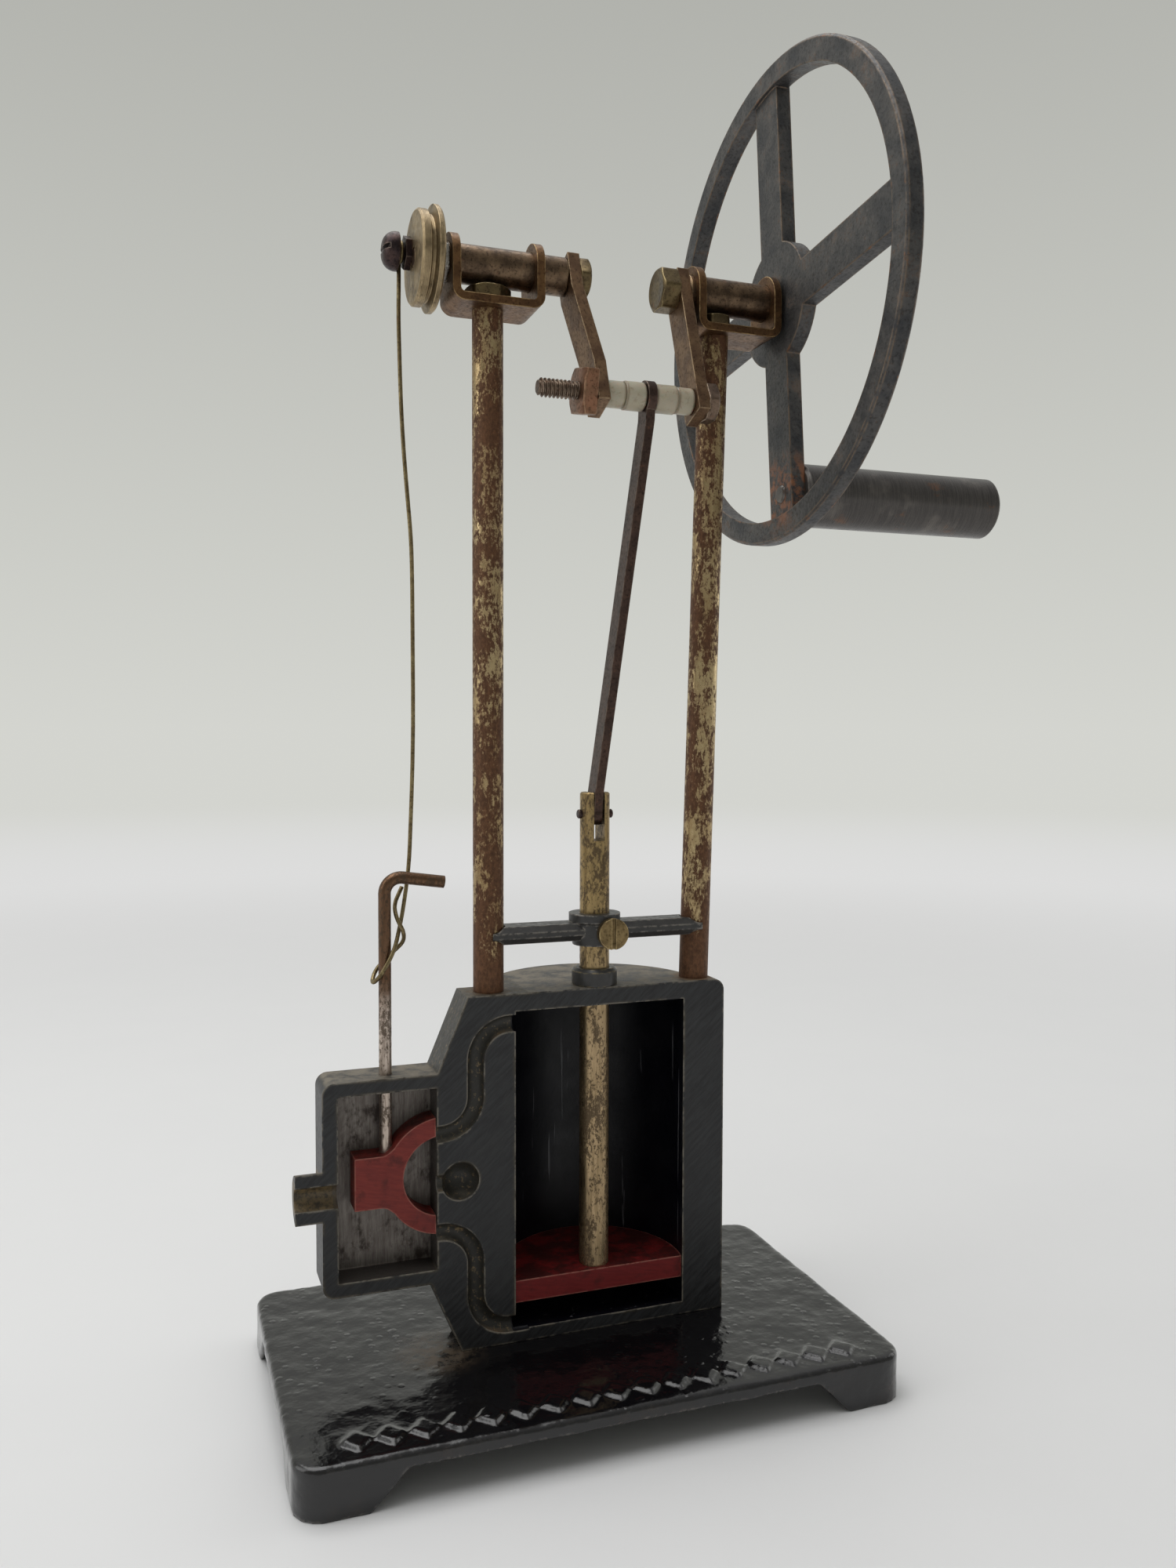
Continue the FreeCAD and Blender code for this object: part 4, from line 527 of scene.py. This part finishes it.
def rod_steel(name, lower, upper, change_z, soft, spots):
    """Drawn rod whose colour drifts from one end to the other, with dark flecks."""
    m = Shader(name)
    drift = m.maths("ADD", m.z, m.both(m.maths("SUBTRACT", m.noise(9 * MM, 4), 0.5), 30 * MM))
    share = m.level(drift, change_z - soft, change_z + soft)
    streak = m.noise(0.8 * MM, 5, 0.6, vector=m.mapped((1, 1, 0.06)))
    speckle = m.noise(0.7 * MM, 6, 0.75, vector=m.mapped((1, 1, 0.6)))
    cloud = m.noise(6 * MM, 6, 0.7, vector=m.mapped((1, 1, 0.5)))
    colour = m.mix(share, lower, upper)
    colour = m.mix(m.both(m.level(streak, 0.42, 0.7), 0.5), colour, tuple(c * 0.55 for c in upper))
    flecks = m.level(m.maths("ADD", m.both(speckle, 0.6), m.both(cloud, 0.5)), 0.60 - spots, 0.66 - spots)
    colour = m.mix(m.both(flecks, 0.8), colour, (0.060, 0.036, 0.018))
    rough = m.maths("ADD", m.level(streak, 0.3, 0.7, 0.24, 0.38), m.both(flecks, 0.2))
    normal = m.softened(0.2 * MM)
    normal = m.bump(m.maths("ADD", streak, flecks), 0.03 * MM, 0.6, normal)
    return m.finish(colour, rough, normal, metallic=m.maths("SUBTRACT", 0.95, m.both(flecks, 0.4)))


def ivory_tube():
    """Translucent ivory tubing, grimy where the pieces meet."""
    m = Shader("ivory_tube")
    cloud = m.noise(4 * MM, 5, 0.6)
    grime = m.level(m.noise(1.6 * MM, 6, 0.7), 0.52, 0.68)
    seam = m.edges(0.9 * MM, 0.04)
    colour = m.mix(cloud, (0.36, 0.315, 0.225), (0.47, 0.43, 0.33))
    colour = m.mix(m.both(grime, 0.5), colour, (0.22, 0.16, 0.09))
    colour = m.mix(m.both(seam, 0.75), colour, (0.15, 0.10, 0.055))
    rough = m.level(cloud, 0.3, 0.7, 0.28, 0.42)
    normal = m.bump(m.noise(0.7 * MM, 4), 0.04 * MM, 0.5, m.softened(0.3 * MM))
    return m.finish(colour, rough, normal, Subsurface_Weight=0.25, Subsurface_Scale=0.0025)


finishes = {
    "base": japanned_black(),
    "block": block_black(),
    "gland": chipped_black("gland_black", (0.30, 0.24, 0.13)),
    "crosshead": chipped_black("crosshead_black", (0.34, 0.31, 0.27)),
    "red": red_paint("valve_red", (0.165, 0.019, 0.015), (0.225, 0.034, 0.026)),
    "deep_red": red_paint("piston_red", (0.135, 0.009, 0.009), (0.190, 0.015, 0.015)),
    "posts": mottled_plate("post_plate", (0.50, 0.39, 0.215), (0.31, 0.200, 0.095), (0.150, 0.066, 0.028),
                           0.225, 1.0, (base_top + 90 * MM, 0.28)),
    "rod": rod_steel("rod_plate", (0.42, 0.305, 0.175), (0.35, 0.25, 0.115), 0.108, 0.02, 0.065),
    "valve_rod": rod_steel("valve_rod_plate", (0.56, 0.47, 0.40), (0.15, 0.085, 0.050), 0.104, 0.008, 0.06),
    "strip": patina("strip_patina", (0.185, 0.100, 0.044), (0.105, 0.054, 0.026), (0.48, 0.33, 0.16)),
    "arms": patina("arm_patina", (0.22, 0.135, 0.075), (0.13, 0.075, 0.044), (0.48, 0.36, 0.22)),
    "conrod": patina("conrod_patina", (0.085, 0.052, 0.040), (0.052, 0.034, 0.028), (0.26, 0.20, 0.16),
                     0.34, 0.7),
    "bolts": patina("bolt_patina", (0.17, 0.125, 0.060), (0.095, 0.068, 0.036), (0.42, 0.33, 0.17), 0.34),
    "shafts": patina("shaft_patina", (0.205, 0.136, 0.082), (0.088, 0.058, 0.037), (0.44, 0.31, 0.16),
                     0.34),
    "pin": patina("pin_patina", (0.20, 0.14, 0.10), (0.11, 0.075, 0.055), (0.40, 0.32, 0.24), 0.36),
    "copper_nut": patina("nut_patina", (0.27, 0.135, 0.080), (0.17, 0.095, 0.055), (0.46, 0.32, 0.20),
                         0.40, 0.6),
    "dark_pin": patina("dark_pin_patina", (0.060, 0.038, 0.034), (0.030, 0.022, 0.024), (0.20, 0.15, 0.12),
                       0.32),
    "disc": turned_metal("disc_brass", (0.42, 0.32, 0.185), (0.22, 0.163, 0.092), shaft_axis, 0.42 * MM,
                         0.40, 0.70),
    "bright_nut": turned_metal("bright_nut", (0.66, 0.64, 0.60), (0.42, 0.40, 0.36), shaft_axis, 0.5 * MM,
                               0.24, 0.25),
    "clamp": patina("clamp_patina", (0.30, 0.215, 0.100), (0.15, 0.105, 0.050), (0.60, 0.46, 0.24), 0.36),
    "wheel": old_iron(),
    "handle": black_steel(),
    "wire": patina("wire_brass", (0.26, 0.205, 0.105), (0.15, 0.11, 0.055), (0.42, 0.35, 0.20), 0.34, 0.3),
    "ivory": ivory_tube(),
}

finish_of = {
    "base_plate": "base", "block_fixing_screws": "bolts", "cylinder_block": "block",
    "piston_rod_gland": "gland", "left_post": "posts", "right_post": "posts",
    "left_bearing_bracket": "strip", "right_bearing_bracket": "strip",
    "left_post_cap_screw": "bolts", "right_post_cap_screw": "bolts",
    "piston": "deep_red", "piston_rod": "rod", "wrist_pin": "dark_pin", "crosshead": "crosshead",
    "crosshead_clamp_screw": "clamp", "left_crank_arm": "arms", "right_crank_arm": "arms",
    "crankpin_bolt": "pin", "crankpin_nut": "pin", "crankpin_spacer_left": "ivory",
    "crankpin_bush_left": "ivory", "crankpin_bush_right": "ivory", "crankpin_spacer_right": "ivory",
    "connecting_rod": "conrod", "left_half_shaft": "shafts", "right_half_shaft": "shafts",
    "left_arm_bolt": "bolts", "right_arm_bolt": "bolts", "valve_crank_disc": "disc",
    "disc_lock_nut": "bright_nut", "valve_pin_screw": "dark_pin", "valve_pin_nut": "dark_pin",
    "valve_wire": "wire", "slide_valve": "red", "valve_rod": "valve_rod", "flywheel": "wheel",
    "flywheel_nut": "bolts", "flywheel_handle": "handle",
}


def dress(thing, finish):
    """Give every material slot of an object one finish."""
    material = finishes[finish]
    if not thing.data.materials:
        thing.data.materials.append(material)
    for slot in thing.material_slots:
        slot.material = material


for name, finish in finish_of.items():
    dress(nodes[name], finish)

# ---------------------------------------------------------------- detailed pieces

SIDES = 72


def add_piece(name, mesh, body, finish, replaced):
    """Put a finished mesh in the scene, riding on a body, in place of a CAD node."""
    thing = bpy.data.objects.new(name, mesh)
    bpy.context.scene.collection.objects.link(thing)
    for face in mesh.polygons:
        face.use_smooth = True
    mesh.materials.append(finishes[finish])
    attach(thing, body)
    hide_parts(replaced)


def loft(rings):
    """A closed bmesh through rings; a ring is (height, radius), each a number or f(angle)."""
    form = bmesh.new()
    loops = []
    for height, radius in rings:
        loop = []
        for i in range(SIDES):
            angle = 2 * math.pi * i / SIDES
            r = radius(angle) if callable(radius) else radius
            h = height(angle) if callable(height) else height
            loop.append(form.verts.new((r * math.cos(angle), r * math.sin(angle), h)))
        loops.append(loop)
    for lower, upper in zip(loops, loops[1:]):
        for i in range(SIDES):
            j = (i + 1) % SIDES
            form.faces.new((lower[i], lower[j], upper[j], upper[i]))
    form.faces.new(list(reversed(loops[0])))
    form.faces.new(loops[-1])
    return form


def reach_of(sides, across):
    """Distance from the middle of a regular prism to its side, by angle, with eased corners."""
    step = 2 * math.pi / sides
    corner = across / 2 / math.cos(step / 2)

    def reach(angle):
        off = (angle + step / 2) % step - step / 2
        return min(across / 2 / math.cos(off), corner * 0.975)
    return reach


def hex_rings(across, start, end, both_ends=False):
    """Rings of a hexagon head whose outer end is turned to a shallow cone."""
    reach = reach_of(6, across)
    crown = across / 2 * 0.94
    slope = math.tan(math.radians(30))

    def lowered(angle):
        return end - max(0.0, reach(angle) - crown) * slope

    def raised(angle):
        return start + max(0.0, reach(angle) - crown) * slope

    rings = [(start, crown * 0.98), (start, crown)] if both_ends else [(start, lambda a: reach(a) * 0.985)]
    rings.append((raised if both_ends else start + 0.1 * MM, reach))
    rings.append((lowered, reach))
    dish = end - 0.04 * MM
    rings += [(end, crown), (end, crown * 0.97), (dish, crown * 0.95), (dish, crown * 0.3)]
    return rings


def aimed(form, place, axis, spin=0.0):
    """Turn a bmesh built along +Z to an axis, and move it to its place."""
    turn = Vector(axis).to_track_quat("Z", "Y").to_matrix().to_4x4()
    form.transform(Matrix.Translation(place) @ turn @ Matrix.Rotation(math.radians(spin), 4, "Z"))
    return form


def as_mesh(name, *forms):
    """One mesh out of several bmeshes."""
    whole = bmesh.new()
    for form in forms:
        part = bpy.data.meshes.new(name + "_part")
        form.to_mesh(part)
        form.free()
        whole.from_mesh(part)
        bpy.data.meshes.remove(part)
    bmesh.ops.recalc_face_normals(whole, faces=whole.faces)
    mesh = bpy.data.meshes.new(name)
    whole.to_mesh(mesh)
    whole.free()
    return mesh


def sharpen(mesh, angle=35):
    """Mark the edges steeper than an angle, so that smooth shading keeps them crisp."""
    form = bmesh.new()
    form.from_mesh(mesh)
    for edge in form.edges:
        if len(edge.link_faces) == 2 and edge.calc_face_angle(0) > math.radians(angle):
            edge.smooth = False
    form.to_mesh(mesh)
    form.free()


def shank_rings(start, end):
    return [(start, STUD_RADIUS * 0.9), (start + 0.3 * MM, STUD_RADIUS), (end, STUD_RADIUS)]


def thread_form(start, end, radius, pitch):
    """A screw thread from start to end, tapering out over its first turn."""
    depth = 0.55 * pitch
    steps = 8
    count = int((end - start) / pitch * steps)

    def ring(k):
        along = start + (end - start) * k / count

        def radius_at(angle):
            turn = ((along - start) / pitch - angle / (2 * math.pi)) % 1.0
            ridge = 1 - abs(2 * turn - 1)
            ridge = min(1.0, max(0.0, (ridge - 0.12) * 1.35))
            ease = min(1.0, (along - start) / (0.8 * pitch))
            return radius - depth + depth * ridge * (0.35 + 0.65 * ease) - (1 - ease) * 0.25 * MM
        return along, radius_at

    return loft([ring(k) for k in range(count + 1)])


def crankpin():
    """Crankpin bolt: hexagon head at the right arm, and a threaded tail past the nut."""
    box_low, box_high = low("crankpin_bolt"), high("crankpin_bolt")
    across = box_high.y - box_low.y
    head_from = high("right_crank_arm").x
    place = Vector((0, crankpin_axis.y, crankpin_axis.z))
    thread_end = low("crankpin_nut").x + 0.5 * MM
    thread = aimed(thread_form(box_low.x, thread_end, STUD_RADIUS, THREAD_PITCH), place, (1, 0, 0))
    core = STUD_RADIUS * 0.96
    shank = loft([(thread_end - 0.3 * MM, core), (head_from + 0.5 * MM, core)])
    shank = aimed(shank, place, (1, 0, 0))
    head = aimed(loft(hex_rings(across, head_from, box_high.x)), place, (1, 0, 0), 90)
    mesh = as_mesh("crankpin", thread, shank, head)
    sharpen(mesh)
    add_piece("crankpin_screw", mesh, "crankshaft", "pin", "crankpin_bolt")


def nut_piece(name, node, body, finish, spin):
    """A hexagon nut, chamfered at both ends, in place of a plain one."""
    box_low, box_high = low(node), high(node)
    across = box_high.y - box_low.y
    middle = (box_low + box_high) / 2
    rings = hex_rings(across, box_low.x, box_high.x, both_ends=True)
    mesh = as_mesh(name, aimed(loft(rings), (0, middle.y, middle.z), (1, 0, 0), spin))
    sharpen(mesh)
    add_piece(name, mesh, body, finish, node)


def square_nut():
    """Square nut on the crankpin, its edges worn round and its outer face barely chamfered."""
    box_low, box_high = low("crankpin_nut"), high("crankpin_nut")
    slant = math.radians(NUT_TURN)
    across = (box_high.y - box_low.y) / (math.cos(slant) + math.sin(slant))
    reach = reach_of(4, across)
    worn = 0.25 * MM

    def inset(angle):
        return reach(angle) - worn

    def outer(angle):
        return box_low.x + worn + max(0.0, reach(angle) - across * 0.56) * 0.35

    rings = [(box_low.x, lambda a: min(inset(a), across * 0.54)), (outer, reach),
             (box_high.x - worn, reach), (box_high.x, inset)]
    nut = aimed(loft(rings), (0, crankpin_axis.y, crankpin_axis.z), (1, 0, 0), NUT_TURN)
    mesh = as_mesh("crankpin_square_nut", nut)
    sharpen(mesh)
    add_piece("crankpin_square_nut", mesh, "crankshaft", "copper_nut", "crankpin_nut")


def arm_bolt(name, node, head_from, head_to, spin):
    """Hexagon bolt that holds a crank arm on its half shaft; its shank is inside the shaft."""
    box_low, box_high = low(node), high(node)
    across = box_high.y - box_low.y
    middle = (box_low + box_high) / 2
    axis = (1, 0, 0) if head_to > head_from else (-1, 0, 0)
    place = Vector((head_from, middle.y, middle.z))
    head = aimed(loft(hex_rings(across, 0, abs(head_to - head_from))), place, axis, spin)
    length = (box_high.x - box_low.x) - abs(head_to - head_from)
    shank = aimed(loft(shank_rings(-length, 0.2 * MM)), place, axis)
    mesh = as_mesh(name, head, shank)
    sharpen(mesh)
    add_piece(name, mesh, "crankshaft", "bolts", node)


def cap_screw(name, node, spin):
    """Hexagon screw through a bracket into the top of its post."""
    box_low, box_high = low(node), high(node)
    middle = (box_low + box_high) / 2
    across = min(box_high.x - box_low.x, box_high.y - box_low.y)
    place = Vector((middle.x, middle.y, box_high.z - CAP_HEAD))
    head = aimed(loft(hex_rings(across, 0, CAP_HEAD)), place, (0, 0, 1), spin)
    length = box_high.z - CAP_HEAD - box_low.z
    shank = aimed(loft(shank_rings(-length, 0.2 * MM)), place, (0, 0, 1))
    mesh = as_mesh(name, head, shank)
    sharpen(mesh)
    add_piece(name, mesh, "stand", "bolts", node)


def cast_copy(name, node, voxel, relax, lumps, body, finish):
    """A casting: the CAD solid resampled finely, with its edges relaxed and its skin uneven.

    lumps is a list of (size, height): each adds smooth unevenness of that size and height.
    """
    source = nodes[node]
    mesh = source.data.copy()
    thing = bpy.data.objects.new(name, mesh)
    bpy.context.scene.collection.objects.link(thing)
    remesh = thing.modifiers.new("resample", "REMESH")
    remesh.mode, remesh.voxel_size = "VOXEL", voxel
    smooth = thing.modifiers.new("relax", "SMOOTH")
    smooth.factor, smooth.iterations = 0.5, relax
    evaluated = thing.evaluated_get(bpy.context.evaluated_depsgraph_get())
    made = bpy.data.meshes.new_from_object(evaluated)
    bpy.data.objects.remove(thing)
    normals = [v.normal.copy() for v in made.vertices]
    for vertex, normal in zip(made.vertices, normals):
        push = sum(height * noise.noise(vertex.co / size) for size, height in lumps)
        vertex.co += normal * push
    made.materials.clear()
    made.name = name
    add_piece(name, made, body, finish, node)


crankpin()
square_nut()
nut_piece("wheel_nut", "flywheel_nut", "crankshaft", "bolts", 90)
left_face = high("left_half_shaft").x + ARM_THICKNESS
arm_bolt("left_arm_screw", "left_arm_bolt", left_face, high("left_arm_bolt").x, 90)
arm_bolt("right_arm_screw", "right_arm_bolt", low("right_crank_arm").x, low("right_arm_bolt").x, 90)
cap_screw("left_cap_screw", "left_post_cap_screw", 12)
cap_screw("right_cap_screw", "right_post_cap_screw", 30)
base_lumps = [(9 * MM, 0.22 * MM), (3.2 * MM, 0.11 * MM)]
cast_copy("base_casting", "base_plate", 0.62 * MM, 3, base_lumps, "stand", "base")

# ---------------------------------------------------------------- stage, light and camera


def stage_floor():
    """Pale floor that fades into the backdrop's colour with distance."""
    radius, sides = 6.0, 96
    mesh = bpy.data.meshes.new("floor")
    form = bmesh.new()
    bmesh.ops.create_circle(form, cap_ends=True, radius=radius, segments=sides)
    form.to_mesh(mesh)
    form.free()
    floor = bpy.data.objects.new("floor", mesh)
    bpy.context.scene.collection.objects.link(floor)
    m = Shader("floor_paper")
    away = m.node("ShaderNodeVectorMath", operation="LENGTH")
    m.join(m.place, away.inputs[0])
    fade = m.level(away.outputs["Value"], 0.35, 1.2)
    blot = m.noise(0.05, 4)
    paper = m.mix(blot, (0.725, 0.725, 0.73), (0.745, 0.745, 0.745))
    m.finish(paper, 0.55, Specular_IOR_Level=0.25)
    glow = m.node("ShaderNodeEmission")
    far = m.level(away.outputs["Value"], 1.1, 2.7)
    m.join(m.mix(far, (0.72, 0.72, 0.715), HORIZON), glow.inputs["Color"])
    blend = m.node("ShaderNodeMixShader")
    m.join(fade, blend.inputs[0])
    m.join(m.surface.outputs[0], blend.inputs[1])
    m.join(glow.outputs[0], blend.inputs[2])
    m.join(blend.outputs[0], m.output.inputs[0])
    floor.data.materials.append(m.material)


def studio_world():
    """Grey gradient studio: pale at the horizon, greyer overhead, dim on the viewer's side."""
    world = bpy.data.worlds.new("studio")
    bpy.context.scene.world = world
    world.use_nodes = True
    tree = world.node_tree
    tree.nodes.clear()
    out = tree.nodes.new("ShaderNodeOutputWorld")
    back = tree.nodes.new("ShaderNodeBackground")
    place = tree.nodes.new("ShaderNodeTexCoord")
    split = tree.nodes.new("ShaderNodeSeparateXYZ")
    ramp = tree.nodes.new("ShaderNodeValToRGB")
    tree.links.new(place.outputs["Generated"], split.inputs[0])
    tree.links.new(split.outputs[2], ramp.inputs[0])
    stops = [(0.0, HORIZON), (0.14, (0.597, 0.604, 0.567)), (0.5, (0.44, 0.445, 0.415)),
             (1.0, (0.80, 0.80, 0.80))]
    ramp.color_ramp.elements[0].position = stops[0][0]
    ramp.color_ramp.elements[0].color = (*stops[0][1], 1)
    ramp.color_ramp.elements[1].position = stops[-1][0]
    ramp.color_ramp.elements[1].color = (*stops[-1][1], 1)
    for position, colour in stops[1:-1]:
        ramp.color_ramp.elements.new(position).color = (*colour, 1)
    front = tree.nodes.new("ShaderNodeMapRange")
    front.interpolation_type = "SMOOTHSTEP"
    for socket, value in zip(("From Min", "From Max", "To Min", "To Max"), (-0.35, 0.45, 0.55, 1.0)):
        front.inputs[socket].default_value = value
    tree.links.new(split.outputs[1], front.inputs["Value"])
    tree.links.new(ramp.outputs[0], back.inputs[0])
    tree.links.new(front.outputs[0], back.inputs[1])
    tree.links.new(back.outputs[0], out.inputs[0])


def area_light(name, at, towards, size, power):
    data = bpy.data.lights.new(name, "AREA")
    data.shape = "RECTANGLE"
    data.size, data.size_y = size
    data.energy = power
    lamp = bpy.data.objects.new(name, data)
    lamp.location = at
    lamp.rotation_mode = "QUATERNION"
    lamp.rotation_quaternion = (Vector(towards) - Vector(at)).to_track_quat("-Z", "Y")
    bpy.context.scene.collection.objects.link(lamp)


def camera():
    """The viewer stands to the left of the sectioned side, a little above the block."""
    yaw, pitch, roll = math.radians(20.03), math.radians(-2.53), math.radians(0.13)
    data = bpy.data.cameras.new("view")
    data.lens, data.sensor_width = 28.66, 36
    view = bpy.data.objects.new("view", data)
    forward = Vector((math.sin(yaw) * math.cos(pitch), math.cos(yaw) * math.cos(pitch), math.sin(pitch)))
    turn = forward.to_track_quat("-Z", "Y").to_matrix().to_4x4() @ Matrix.Rotation(roll, 4, "Z")
    view.matrix_world = Matrix.Translation((-0.10753, -0.31230, 0.17207)) @ turn
    data.clip_start = 0.01
    bpy.context.scene.collection.objects.link(view)
    bpy.context.scene.camera = view


stage_floor()
studio_world()
middle = (0.0, 0.0, 0.15)
area_light("overhead", (-0.30, 0.10, 1.40), middle, (1.4, 1.1), 11)
area_light("left_window", (-1.25, 0.05, 0.70), middle, (0.8, 1.1), 4)
area_light("right_fill", (1.2, 0.1, 0.6), middle, (0.7, 0.9), 2)
camera()
bpy.context.scene.view_settings.view_transform = "Standard"
